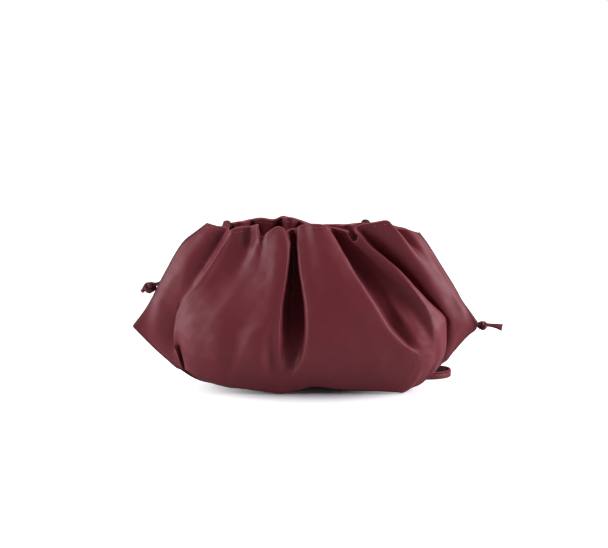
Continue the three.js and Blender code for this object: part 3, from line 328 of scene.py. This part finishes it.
def waves(points, length, seed, n=14):
    """A soft even unevenness from -1 to 1, the same on every run."""
    rng = np.random.default_rng(seed)
    total = np.zeros(points.shape[:-1])
    for _ in range(n):
        k = unit(rng.normal(size=3)) * 2 * math.pi / (length * rng.uniform(0.75, 1.6))
        total += np.sin(points @ k + rng.uniform(0, 2 * math.pi))
    return total / math.sqrt(n)


def make_mesh(name, verts, faces, material, also=()):
    """verts in millimetres around the seam plane; faces are tuples of vertex numbers."""
    v = (np.asarray(verts, float) + np.array([0, SEAM_Y, 0])) * MM
    mesh = bpy.data.meshes.new(name)
    mesh.from_pydata(v.tolist(), [], [tuple(int(i) for i in f) for f in faces])
    mesh.validate()
    mesh.polygons.foreach_set("use_smooth", [True] * len(mesh.polygons))
    mesh.materials.append(material)
    for m in also:
        mesh.materials.append(m)
    mesh.update()
    obj = bpy.data.objects.new(name, mesh)
    bpy.context.scene.collection.objects.link(obj)
    return obj


# ------------------------------------------------------------- materials ----
def node(tree, kind, **values):
    n = tree.nodes.new(kind)
    for key, value in values.items():
        if key in n.inputs:
            n.inputs[key].default_value = value
        else:
            setattr(n, key, value)
    return n


def leather_material(name, dark, light, roughness, grain_mm, depth):
    m = bpy.data.materials.new(name)
    m.use_nodes = True
    t = m.node_tree
    bsdf = t.nodes["Principled BSDF"]
    link = t.links.new
    where = node(t, "ShaderNodeTexCoord")
    # colour: slow cloudiness of the dye, lighter rubbed fold edges, and painted shade where the edge attribute is set
    cloud = node(t, "ShaderNodeTexNoise", Scale=55.0, Detail=3.0, Roughness=0.55)
    link(where.outputs["Object"], cloud.inputs["Vector"])
    tone = node(t, "ShaderNodeMix", data_type="RGBA")
    tone.inputs["A"].default_value = (*dark, 1)
    tone.inputs["B"].default_value = (*light, 1)
    link(cloud.outputs["Fac"], tone.inputs["Factor"])
    rub = node(t, "ShaderNodeAttribute", attribute_name="rub")
    worn = node(t, "ShaderNodeMix", data_type="RGBA")
    worn.inputs["B"].default_value = (*[c * 1.9 + 0.012 for c in light], 1)
    link(tone.outputs["Result"], worn.inputs["A"])
    link(rub.outputs["Fac"], worn.inputs["Factor"])
    # painted shade: where the edge attribute is set the colour sinks towards a third of the dark tone, standing in for
    # shade
    edge = node(t, "ShaderNodeAttribute", attribute_name="edge")
    painted_shade = node(t, "ShaderNodeMix", data_type="RGBA")
    painted_shade.inputs["B"].default_value = (*[c * 0.3 for c in dark], 1)
    link(worn.outputs["Result"], painted_shade.inputs["A"])
    link(edge.outputs["Fac"], painted_shade.inputs["Factor"])
    link(painted_shade.outputs["Result"], bsdf.inputs["Base Color"])
    # gloss: a little uneven
    patch = node(t, "ShaderNodeTexNoise", Scale=160.0, Detail=4.0, Roughness=0.6)
    link(where.outputs["Object"], patch.inputs["Vector"])
    gloss = node(t, "ShaderNodeMapRange")
    gloss.inputs["From Min"].default_value, gloss.inputs["From Max"].default_value = 0.3, 0.7
    gloss.inputs["To Min"].default_value, gloss.inputs["To Max"].default_value = roughness - 0.035, roughness + 0.05
    link(patch.outputs["Fac"], gloss.inputs["Value"])
    link(gloss.outputs["Result"], bsdf.inputs["Roughness"])
    # grain: small rounded pebbles parted by fine creases, and pores
    warp = node(t, "ShaderNodeTexNoise", Scale=420.0, Detail=2.0)
    link(where.outputs["Object"], warp.inputs["Vector"])
    bend = node(t, "ShaderNodeMix", data_type="VECTOR")
    bend.inputs["Factor"].default_value = 0.0012
    link(where.outputs["Object"], bend.inputs["A"])
    link(warp.outputs["Color"], bend.inputs["B"])
    pebble = node(t, "ShaderNodeTexVoronoi", feature="SMOOTH_F1", Scale=1000.0 / grain_mm, Smoothness=0.5)
    link(bend.outputs["Result"], pebble.inputs["Vector"])
    pore = node(t, "ShaderNodeTexNoise", Scale=2600.0 / grain_mm, Detail=2.0, Roughness=0.6)
    link(where.outputs["Object"], pore.inputs["Vector"])
    crease = node(t, "ShaderNodeTexNoise", Scale=260.0, Detail=5.0, Roughness=0.62)
    link(where.outputs["Object"], crease.inputs["Vector"])
    bump_a = node(t, "ShaderNodeBump", Strength=0.32, Distance=depth, invert=True)
    link(pebble.outputs["Distance"], bump_a.inputs["Height"])
    bump_b = node(t, "ShaderNodeBump", Strength=0.22, Distance=depth * 0.5)
    link(pore.outputs["Fac"], bump_b.inputs["Height"])
    bump_c = node(t, "ShaderNodeBump", Strength=0.18, Distance=depth * 3.0)
    link(crease.outputs["Fac"], bump_c.inputs["Height"])
    link(bump_a.outputs["Normal"], bump_b.inputs["Normal"])
    link(bump_b.outputs["Normal"], bump_c.inputs["Normal"])
    link(bump_c.outputs["Normal"], bsdf.inputs["Normal"])
    bsdf.inputs["Specular IOR Level"].default_value = 0.23
    bsdf.inputs["IOR"].default_value = 1.45
    return m


def thread_material(name, colour):
    m = bpy.data.materials.new(name)
    m.use_nodes = True
    t = m.node_tree
    bsdf = t.nodes["Principled BSDF"]
    where = node(t, "ShaderNodeTexCoord")
    twist = node(t, "ShaderNodeTexNoise", Scale=2400.0, Detail=2.0)
    t.links.new(where.outputs["Object"], twist.inputs["Vector"])
    tone = node(t, "ShaderNodeMix", data_type="RGBA")
    tone.inputs["A"].default_value = (*[c * 0.75 for c in colour], 1)
    tone.inputs["B"].default_value = (*[c * 1.25 for c in colour], 1)
    t.links.new(twist.outputs["Fac"], tone.inputs["Factor"])
    t.links.new(tone.outputs["Result"], bsdf.inputs["Base Color"])
    bump = node(t, "ShaderNodeBump", Strength=0.4, Distance=0.00008)
    t.links.new(twist.outputs["Fac"], bump.inputs["Height"])
    t.links.new(bump.outputs["Normal"], bsdf.inputs["Normal"])
    bsdf.inputs["Roughness"].default_value = 0.6
    return m


LEATHER_DARK, LEATHER_LIGHT = (0.1165, 0.0176, 0.0230), (0.1440, 0.0234, 0.0297)
leather = leather_material("burgundy_leather", LEATHER_DARK, LEATHER_LIGHT, 0.47, 0.75, 0.00006)
strap_leather = leather_material("strap_leather", (0.098, 0.0136, 0.0184), (0.124, 0.0188, 0.0241), 0.5, 0.6, 0.00005)
thread = thread_material("burgundy_thread", (0.17, 0.045, 0.055))

# ---------------------------------------------------------------- panels ----
PITCH = 0.9              # spacing of the fine mesh along a row
ROWS_UP, ROWS_UNDER = 128, 20
RIM_ARCS = 5


def panel_rows():
    up = np.linspace(0, 1, ROWS_UP)
    return np.concatenate([np.linspace(-1, 0, ROWS_UNDER, endpoint=False), up])


def panel(name, folds, side, seed):
    """One gathered panel: outer face, rolled hem, inner face and rounded sewn edge, as one closed mesh."""
    rows = panel_rows()
    guide = np.stack([fold_line(f, rows) for f in folds], 1)
    mid = guide[len(rows) // 2]
    steps = np.clip(np.round(np.linalg.norm(np.diff(mid, axis=0), axis=1) / PITCH), 6, 26).astype(int)
    steps += steps % 2
    g = across(guide, steps)
    g[..., 1] = np.maximum(g[..., 1], 0.25)
    g[..., 2] = np.maximum(g[..., 2], 0.0)
    g[..., 1] *= side

    def normals(a):
        du, dv = np.gradient(a, axis=1), np.gradient(a, axis=0)
        return unit(np.cross(du, dv)) * -side

    # the leather's own unevenness
    n = normals(g)
    away = smooth(0.0, 6.0, np.abs(g[..., 1])) * smooth(0.3, 6.0, g[..., 2])
    g = g + n * (away * (0.3 * waves(g, 42.0, seed + 2) + 0.16 * waves(g, 17.0, seed) + 0.06 * waves(g, 7.0, seed + 1)))[..., None]
    g[..., 2] = np.maximum(g[..., 2], 0.0)
    n = normals(g)

    # distance below the rim along each column
    run = np.linalg.norm(np.diff(g, axis=0), axis=2)
    below = np.concatenate([np.cumsum(run[::-1], axis=0)[::-1], np.zeros((1, g.shape[1]))], 0)
    wall = LEATHER + (HEM - LEATHER) * (1 - smooth(HEM_DEEP - 0.8, HEM_DEEP + 0.4, below))
    # where the rim runs along a fold the wall goes straight back
    du, dv = unit(np.gradient(g, axis=1)), unit(np.gradient(g, axis=0))
    open_by = smooth(0.12, 0.5, np.linalg.norm(np.cross(du, dv), axis=2))[..., None]
    inner = g - unit(n * open_by + np.array([0.0, side, 0.0]) * (1 - open_by)) * wall[..., None]
    inner = inner[::2] if len(rows) % 2 else np.concatenate([inner[:1], inner[1::2]], 0)
    for _ in range(3):
        soft = inner.copy()
        soft[1:-1, 1:-1] = (inner[:-2, 1:-1] + inner[2:, 1:-1] + inner[1:-1, :-2] + inner[1:-1, 2:]) / 4
        inner = soft
    inner[..., 1] = side * np.maximum(side * inner[..., 1], 0.3)
    inner[..., 2] = np.maximum(inner[..., 2], 0.25)

    R, U = g.shape[:2]
    I = inner.shape[0]
    verts = [g.reshape(-1, 3), inner.reshape(-1, 3)]
    count = R * U + I * U
    faces = []

    def quad(a, b, c, d):
        faces.append((a, b, c, d) if side < 0 else (d, c, b, a))

    def outer_id(r, u):
        return r * U + u

    def inner_id(r, u):
        return R * U + r * U + u

    for r in range(R - 1):
        for u in range(U - 1):
            quad(outer_id(r, u), outer_id(r, u + 1), outer_id(r + 1, u + 1), outer_id(r + 1, u))
    for r in range(I - 1):
        for u in range(U - 1):
            quad(inner_id(r, u), inner_id(r + 1, u), inner_id(r + 1, u + 1), inner_id(r, u + 1))

    # the rim: half round from the outer face over to the inner face
    top_o, top_i = g[-1], inner[-1]
    rise = unit(g[-1] - g[-2])
    middle, half = (top_o + top_i) / 2, (top_o - top_i) / 2
    radius = np.linalg.norm(half, axis=1)[:, None]
    previous = [outer_id(R - 1, u) for u in range(U)]
    for k in range(1, RIM_ARCS):
        a = math.pi * k / RIM_ARCS
        verts.append(middle + half * math.cos(a) + rise * radius * 0.9 * math.sin(a))
        line = [count + u for u in range(U)]
        count += U
        for u in range(U - 1):
            quad(previous[u], previous[u + 1], line[u + 1], line[u])
        previous = line
    for u in range(U - 1):
        quad(previous[u], previous[u + 1], inner_id(I - 1, u + 1), inner_id(I - 1, u))

    # the sewn edge: both sides and the bottom as one line, rounded into the seam
    edge = ([outer_id(r, 0) for r in range(R - 1, 0, -1)] + [outer_id(0, u) for u in range(U)]
            + [outer_id(r, U - 1) for r in range(1, R)])
    pts = g.reshape(-1, 3)[edge]
    tangent = np.gradient(pts[:, [0, 2]], axis=0)
    for _ in range(6):
        tangent[1:-1] = (tangent[:-2] + 2 * tangent[1:-1] + tangent[2:]) / 4
    tangent = unit(tangent)
    out = np.stack([tangent[:, 1], np.zeros(len(pts)), -tangent[:, 0]], -1)
    proud = np.abs(pts[:, 1])[:, None]
    size = np.clip(proud / 1.7, 0, 1) * SEAM_ROUND
    previous = edge
    seam_line = None
    for away_by, keep in ((0.55, 0.9), (0.9, 0.66), (1.0, 0.38), (0.86, 0.14), (0.6, 0.0)):
        ring = pts + out * size * away_by
        ring[:, 1] = pts[:, 1] * keep + side * 0.015
        ring[:, 2] = np.maximum(ring[:, 2], 0.0)
        verts.append(ring)
        line = [count + i for i in range(len(pts))]
        count += len(pts)
        for i in range(len(pts) - 1):
            quad(previous[i + 1], previous[i], line[i], line[i + 1])
        previous = seam_line = line
    # close the seam to the inner face
    back = ([inner_id(r, 0) for r in range(I - 1, 0, -1)] + [inner_id(0, u) for u in range(U)]
            + [inner_id(r, U - 1) for r in range(1, I)])
    row_of = list(range(R))[::2] if R % 2 else [0] + list(range(R))[1::2]
    at = {}
    for i, vid in enumerate(edge):
        at[vid] = i
    spots = ([at[outer_id(row_of[r], 0)] for r in range(I - 1, 0, -1)] + [at[outer_id(0, u)] for u in range(U)]
             + [at[outer_id(row_of[r], U - 1)] for r in range(1, I)])
    for j in range(len(back) - 1):
        a, b = spots[j], spots[j + 1]
        for i in range(a, b):
            tri = (seam_line[i + 1], seam_line[i], back[j])
            faces.append(tri if side < 0 else tri[::-1])
        tri = (seam_line[b], back[j], back[j + 1])
        faces.append(tri if side < 0 else tri[::-1])
    # close the two ends of the rim
    strips = [R * U + I * U + k * U for k in range(RIM_ARCS - 1)]
    for u, end, flip in ((0, 0, False), (U - 1, -1, True)):
        arc = [outer_id(R - 1, u)] + [s + u for s in strips] + [inner_id(I - 1, u)]
        first = R * U + I * U + (RIM_ARCS - 1) * U
        seam = [first + k * len(edge) + (0 if end == 0 else len(edge) - 1) for k in range(5)]
        fan = arc[::-1] + seam
        if end == 0:
            fan = fan[::-1]
        loop = tuple(fan) if side < 0 else tuple(fan[::-1])
        centre = loop[0]
        for i in range(1, len(loop) - 1):
            faces.append((centre, loop[i + 1], loop[i]))

    verts = np.concatenate(verts)
    obj = make_mesh(name, verts, faces, leather)

    # fold edges are rubbed lighter: a float per vertex from how sharply the outer face turns
    bend = np.zeros(len(verts))
    lap = np.zeros((R, U))
    step = 3
    a, b = g[:, :-2 * step], g[:, 2 * step:]
    m = g[:, step:-step]
    lap[:, step:-step] = (((m - (a + b) / 2) * n[:, step:-step]).sum(-1)) / np.maximum(np.linalg.norm(b - a, axis=2), 0.5)
    for _ in range(4):
        lap[1:-1, 1:-1] = (lap[:-2, 1:-1] + lap[2:, 1:-1] + lap[1:-1, :-2] + lap[1:-1, 2:] + 2 * lap[1:-1, 1:-1]) / 6
    bend[:R * U] = (np.clip((lap - 0.1) / 0.25, 0, 1) * 0.06).ravel()
    # and so is the turned rim
    rim = R * U + I * U
    bend[rim:rim + (RIM_ARCS - 1) * U] = 0.55
    attribute = obj.data.attributes.new("rub", "FLOAT", "POINT")
    attribute.data.foreach_set("value", bend.astype(np.float32))
    # painted shade: the rounded sewn edges of the wing seams are darkened where they turn away from the light
    painted_shade = np.zeros(len(verts), np.float32)
    painted_shade[count - 5 * len(edge):count] = 0.8
    obj.data.attributes.new("edge", "FLOAT", "POINT").data.foreach_set("value", painted_shade)
    return obj, g, n, below, inner


# --------------------------------------------------------------- stitches ----
def along(points):
    return np.concatenate([[0], np.cumsum(np.linalg.norm(np.diff(points, axis=0), axis=1))])


def at_distance(g, n, below, deep):
    """The line on the outer face that lies deep below the rim."""
    p, q = [], []
    for u in range(g.shape[1]):
        d = below[::-1, u]
        i = int(np.clip(np.searchsorted(d, deep), 1, len(d) - 1))
        f = (deep - d[i - 1]) / max(d[i] - d[i - 1], 1e-6)
        a, b = len(d) - i, len(d) - 1 - i
        p.append(g[a, u] * (1 - f) + g[b, u] * f)
        q.append(n[a, u])
    return np.array(p), unit(np.array(q))


def stitch_rows(lines, length=2.5, gap=0.9, thick=0.42, lift=0.1, slant=0.12):
    """Capsule-shaped stitches along lines of (points, normals)."""
    verts, faces = [], []
    sides, count = 6, 0
    for points, normal in lines:
        s = along(points)
        start = 1.0
        while start + length < s[-1] - 1.0:
            pos = np.array([start, start + 0.12 * length, start + 0.5 * length, start + 0.88 * length, start + length])
            p = np.stack([np.interp(pos, s, points[:, c]) for c in range(3)], -1)
            m = unit(np.stack([np.interp(pos, s, normal[:, c]) for c in range(3)], -1))
            t = unit(np.gradient(p, axis=0))
            w = unit(np.cross(t, m))
            m = unit(np.cross(w, t))
            sunk = np.array([-0.3, 0.0, lift, 0.0, -0.3])
            wide = np.array([0.25, 0.85, 1.0, 0.85, 0.25]) * thick / 2
            shift = np.linspace(-slant, slant, 5)
            for k in range(5):
                for j in range(sides):
                    a = 2 * math.pi * j / sides
                    verts.append(p[k] + m[k] * (sunk[k] + wide[k] * math.sin(a)) + w[k] * (shift[k] + wide[k] * math.cos(a)))
            for k in range(4):
                for j in range(sides):
                    a, b = count + k * sides + j, count + k * sides + (j + 1) % sides
                    faces.append((a, b, b + sides, a + sides))
            faces.append(tuple(count + j for j in range(sides))[::-1])
            faces.append(tuple(count + 4 * sides + j for j in range(sides)))
            count += 5 * sides
            start += length + gap
    return verts, faces


# ------------------------------------------------------------------ strap ----
def spline(points, per_piece):
    """Centripetal rounded curve; returns points and the place of each in the list they came from."""
    p = np.asarray(points, float)
    q = np.concatenate([[2 * p[0] - p[1]], p, [2 * p[-1] - p[-2]]])
    t = np.concatenate([[0], np.cumsum(np.sqrt(np.linalg.norm(np.diff(q, axis=0), axis=1)) + 1e-9)])
    out, place = [], []
    for k in range(len(p) - 1):
        n = per_piece(k)
        for j in range(n):
            s = t[k + 1] + (t[k + 2] - t[k + 1]) * j / n
            a1 = (t[k + 1] - s) / (t[k + 1] - t[k]) * q[k] + (s - t[k]) / (t[k + 1] - t[k]) * q[k + 1]
            a2 = (t[k + 2] - s) / (t[k + 2] - t[k + 1]) * q[k + 1] + (s - t[k + 1]) / (t[k + 2] - t[k + 1]) * q[k + 2]
            a3 = (t[k + 3] - s) / (t[k + 3] - t[k + 2]) * q[k + 2] + (s - t[k + 2]) / (t[k + 3] - t[k + 2]) * q[k + 3]
            b1 = (t[k + 2] - s) / (t[k + 2] - t[k]) * a1 + (s - t[k]) / (t[k + 2] - t[k]) * a2
            b2 = (t[k + 3] - s) / (t[k + 3] - t[k + 1]) * a2 + (s - t[k + 1]) / (t[k + 3] - t[k + 1]) * a3
            out.append((t[k + 2] - s) / (t[k + 2] - t[k + 1]) * b1 + (s - t[k + 1]) / (t[k + 2] - t[k + 1]) * b2)
            place.append(k + j / n)
    out.append(p[-1])
    place.append(len(p) - 1.0)
    return np.array(out), np.array(place)


def tube(rings):
    """Closed sweep of rings [ring, side, 3]."""
    rings = np.asarray(rings)
    R, S = rings.shape[:2]
    faces = []
    for r in range(R - 1):
        for s in range(S):
            a, b = r * S + s, r * S + (s + 1) % S
            faces.append((a, b, b + S, a + S))
    faces.append(tuple(range(S))[::-1])
    faces.append(tuple((R - 1) * S + s for s in range(S)))
    return rings.reshape(-1, 3), faces


def strap_section(a, b):
    """Half width a, half thickness b: a folded strip with round edges and a sewn groove on each face."""
    pts = []
    for k in range(7):                              # round edge on +wide
        t = -math.pi / 2 + math.pi * k / 6
        pts.append((a - b * 0.9 + b * 0.9 * math.cos(t), b * math.sin(t)))
    g = 0.34 * a                                     # groove, a third from the upper edge
    face = [(0.72 * a, 1.0), (g + 0.42, 1.0), (g + 0.16, 0.78), (g - 0.16, 0.78), (g - 0.42, 1.0), (0.0, 1.03), (-0.4 * a, 1.02)]
    pts += [(x, b * y) for x, y in face]
    for k in range(7):
        t = math.pi / 2 + math.pi * k / 6
        pts.append((-a + b * 0.9 + b * 0.9 * math.cos(t), b * math.sin(t)))
    pts += [(x, -b * y) for x, y in face[::-1]]
    return np.array(pts)


def build_strap():
    route = named(STRAP_COLUMNS, STRAP_ROUTE)
    xyz = np.array([[p["x"], p["y"], p["z"]] for p in route])
    wide = np.array([[p["wideX"], p["wideY"], p["wideZ"]] for p in route])
    full = np.array([p["full"] for p in route], float)
    gaps = np.linalg.norm(np.diff(xyz, axis=0), axis=1)
    line, place = spline(xyz, lambda k: int(np.clip(round(gaps[k] / 1.1), 2, 60)))
    keys = np.arange(len(route))
    w = np.stack([np.interp(place, keys, wide[:, c]) for c in range(3)], -1)
    f = np.interp(place, keys, full)
    t = unit(np.gradient(line, axis=0))
    w = unit(w - (w * t).sum(1, keepdims=True) * t)
    n = np.cross(t, w)
    rings, groove = [], {1: [], -1: []}
    wobble = 0.05 * waves(line, 30.0, 71)
    over = np.interp(place, keys, [RIM_BOW if p["leg"] in ("left_rim", "right_rim") else 0.0 for p in route])
    for p, tw, tn, k, wb, bow in zip(line, w, n, f, wobble, over * np.sign(n[:, 2])):
        a = (LACE_WIDE + (STRAP_WIDE - LACE_WIDE) * k) / 2 + wb
        b = (LACE_THICK + (STRAP_THICK - LACE_THICK) * k) / 2
        section = strap_section(a, b)
        section[:, 1] -= bow * (section[:, 0] / a) ** 2
        rings.append(p + section[:, :1] * tw + section[:, 1:] * tn)
        for s in (1, -1):
            groove[s].append(p + tw * 0.34 * a + tn * s * b * 0.8)
    verts, faces = tube(rings)
    thick_part = f > 0.95
    lines = [(np.array(groove[s])[thick_part], (n * s)[thick_part]) for s in (1, -1)]
    sv, sf = stitch_rows(lines, length=2.1, gap=0.8, thick=0.4, lift=0.06, slant=0.05)
    base = len(verts)
    obj = make_mesh("shoulder_strap", np.concatenate([verts, np.array(sv)]),
                    faces + [tuple(i + base for i in q) for q in sf], strap_leather, also=[thread])
    index = np.zeros(len(obj.data.polygons), np.int32)
    index[len(faces):] = 1
    obj.data.polygons.foreach_set("material_index", index)
    rub = np.zeros(len(obj.data.vertices), np.float32)
    S = len(strap_section(2.5, 0.9))
    edge = np.zeros(S)
    edge[[1, 2, 3, 4, 5, 15, 16, 17, 18, 19]] = 0.25
    rub[:base] = np.tile(edge, base // S)
    obj.data.attributes.new("rub", "FLOAT", "POINT").data.foreach_set("value", rub)
    bend = int(np.argmax(line[:, 0]))               # at the loop, the face that looks into the loop
    loop_shade_face = np.zeros(S)
    loop_shade_face[slice(7, 14) if n[bend, 0] < 0 else slice(21, 28)] = 0.9
    # painted shade: that face is darkened along the whole strap, standing in for the shadow inside the loop
    dark = np.zeros(len(obj.data.vertices), np.float32)
    dark[:base] = np.tile(loop_shade_face, base // S)
    obj.data.attributes.new("edge", "FLOAT", "POINT").data.foreach_set("value", dark)
    return obj, (line + np.array([0, SEAM_Y, 0])) * MM


KNOT_OPEN, KNOT_STEPS, KNOT_SIDES = 0.55, 26, 14
KNOT_FULL = 1.5          # the pulled-tight lace fills the knot


def build_knot(k):
    turn = math.radians(k["turnDeg"])
    ends = [dict(e, p=np.array([k["x"] + k["stubSide"] * e["out"], e["back"], k["z"] + e["up"]]))
            for e in named(KNOT_END_COLUMNS, KNOT_ENDS) if e["knot"] == k["name"]]
    loop = []
    for i in range(KNOT_STEPS + 1):
        t = math.pi + KNOT_OPEN + 2 * (math.pi - KNOT_OPEN) * i / KNOT_STEPS
        a = k["loop"] * (math.sin(t) + 2 * math.sin(2 * t))
        c = -1.05 * k["loop"] * math.sin(3 * t)
        up = -k["loop"] * (math.cos(t) - 2 * math.cos(2 * t))
        loop.append((1.0, np.array([k["x"] + k["stubSide"] * (a * math.cos(turn) - c * math.sin(turn)),
                                    a * math.sin(turn) + c * math.cos(turn), k["z"] + up])))
    path = ([(e["wide"], e["p"]) for e in ends if e["end"] == "stub"] + loop
            + [(e["wide"], e["p"]) for e in ends if e["end"] == "tail"])
    inside = path[0][1] + unit(path[0][1] - path[1][1]) * 1.6
    path = [(1.0, inside)] + path
    line, place = spline([p for _, p in path], lambda j: 6)
    wide = np.interp(place, np.arange(len(path)), [w for w, _ in path])
    t = unit(np.gradient(line, axis=0))
    n = np.array([0.0, 1.0, 0.0])
    rings = []
    for p, tt, w in zip(line, t, wide):
        n = unit(n - (n @ tt) * tt)
        b = np.cross(tt, n)
        ring = []
        for j in range(KNOT_SIDES):
            a = 2 * math.pi * j / KNOT_SIDES
            ca, sa = math.cos(a), math.sin(a)
            ring.append(p + n * k["lace"] * KNOT_FULL * np.sign(ca) * abs(ca) ** 0.75 / math.sqrt(w)
                        + b * k["lace"] * KNOT_FULL * 1.08 * np.sign(sa) * abs(sa) ** 0.75 * w)
        rings.append(ring)
    verts, faces = tube(rings)
    obj = make_mesh(k["name"] + "_lace", verts, faces, strap_leather)
    rub = np.tile(np.where(np.arange(KNOT_SIDES) % 7 == 0, 0.3, 0.1), len(line)).astype(np.float32)
    obj.data.attributes.new("rub", "FLOAT", "POINT").data.foreach_set("value", rub)
    # painted shade: the whole knot is darkened, standing in for the shade among its tight turns
    dark = np.full(len(verts), 0.45, np.float32)
    obj.data.attributes.new("edge", "FLOAT", "POINT").data.foreach_set("value", dark)
    return obj


# ------------------------------------------------------------ the assembly ----
strap, strap_path = build_strap()
knots = [build_knot(k) for k in named(KNOT_COLUMNS, KNOTS)]
front_lines = named(LINE_COLUMNS, FRONT_LINES)
back_lines = [front_lines[0]] + [keyed(f) for f in named(FOLD_COLUMNS, BACK_FOLDS)[1:-1]] + [front_lines[-1]]
front, front_g, front_n, front_below, front_inner = panel("gathered_front", front_lines, -1, 11)
back, back_g, back_n, back_below, back_inner = panel("gathered_back", back_lines, 1, 23)

stitched = []
for name, g, n, below in (("front_hem_stitches", front_g, front_n, front_below), ("back_hem_stitches", back_g, back_n, back_below)):
    line, normal = at_distance(g, n, below, 2.2)
    # no stitches where the line comes too near the rim's own edge
    off = np.array([np.linalg.norm(g[-1] - p, axis=1).min() for p in line])
    runs = [r for r in np.split(np.arange(len(line)), np.flatnonzero(np.diff(off > 1.5)) + 1) if off[r[0]] > 1.5 and along(line[r])[-1] > 9]
    verts, faces = stitch_rows([(line[r] - normal[r] * depth, normal[r] * turn) for r in runs for depth, turn in ((0.0, 1), (HEM, -1))])
    stitched.append(make_mesh(name, verts, faces, thread))

for obj, target in ((front, "front_panel"), (back, "back_panel"), (strap, "strap"), (knots[0], "knot_left"), (knots[1], "knot_right")):
    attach(obj, "root")
    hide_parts(target)
for obj in stitched:
    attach(obj, "root")

# ------------------------------------------------------- floor and lights ----
floor_mesh = bpy.data.meshes.new("floor")
ring = [(14 * math.cos(2 * math.pi * i / 96), 14 * math.sin(2 * math.pi * i / 96), 0) for i in range(96)]
floor_mesh.from_pydata(ring, [], [tuple(range(96))])
floor = bpy.data.objects.new("floor", floor_mesh)
bpy.context.scene.collection.objects.link(floor)
paper = bpy.data.materials.new("white_paper")
paper.use_nodes = True
tree = paper.node_tree
shade = tree.nodes["Principled BSDF"]
shade.inputs["Base Color"].default_value = (0.6, 0.6, 0.6, 1)
shade.inputs["Roughness"].default_value = 0.8
# the floor glows white for camera rays only; near the bag the glow is lowered with distance, a painted contact shadow
spot = node(tree, "ShaderNodeNewGeometry")
reach = node(tree, "ShaderNodeVectorMath", operation="LENGTH")
flat = node(tree, "ShaderNodeVectorMath", operation="MULTIPLY_ADD")
flat.inputs[1].default_value = (0.9, 1.0, 1.0)
flat.inputs[2].default_value = (-0.004, 0.0, 0.0)
tree.links.new(spot.outputs["Position"], flat.inputs[0])
tree.links.new(flat.outputs["Vector"], reach.inputs[0])
glow_and_contact_shadow = node(tree, "ShaderNodeMapRange", interpolation_type="SMOOTHSTEP")
glow_and_contact_shadow.inputs["From Min"].default_value, glow_and_contact_shadow.inputs["From Max"].default_value = 0.016, 0.095
glow_and_contact_shadow.inputs["To Min"].default_value, glow_and_contact_shadow.inputs["To Max"].default_value = 0.008, 1.0
tree.links.new(reach.outputs["Value"], glow_and_contact_shadow.inputs["Value"])
seen = node(tree, "ShaderNodeLightPath")
only = node(tree, "ShaderNodeMath", operation="MULTIPLY")
tree.links.new(glow_and_contact_shadow.outputs["Result"], only.inputs[0])
tree.links.new(seen.outputs["Is Camera Ray"], only.inputs[1])
shade.inputs["Emission Color"].default_value = (1, 1, 1, 1)
tree.links.new(only.outputs["Value"], shade.inputs["Emission Strength"])
floor_mesh.materials.append(paper)

world = bpy.data.worlds.new("studio")
bpy.context.scene.world = world
world.use_nodes = True
world.node_tree.nodes["Background"].inputs["Color"].default_value = (1, 1, 1, 1)
world.node_tree.nodes["Background"].inputs["Strength"].default_value = 0.035


def softbox(name, place, size, watts, colour=(1, 1, 1), at=(0, 0, 0.05)):
    data = bpy.data.lights.new(name, "AREA")
    data.shape, data.size, data.size_y, data.energy = "RECTANGLE", size[0], size[1], watts
    data.color = colour
    obj = bpy.data.objects.new(name, data)
    bpy.context.scene.collection.objects.link(obj)
    obj.location = place
    obj.rotation_euler = (Vector(at) - Vector(place)).to_track_quat("-Z", "Y").to_euler()


COOL = (0.95, 0.93, 1.0)
softbox("left_box", (-0.85, -0.18, 0.27), (0.55, 0.75), 12.4, COOL)
softbox("right_box", (0.85, -0.18, 0.29), (0.55, 0.75), 15.6, COOL)
softbox("top_box", (0.0, 0.15, 1.0), (0.9, 0.8), 5.5)

scene = bpy.context.scene
scene.view_settings.view_transform = "Standard"
scene.view_settings.look = "None"
scene.view_settings.exposure = 0.0
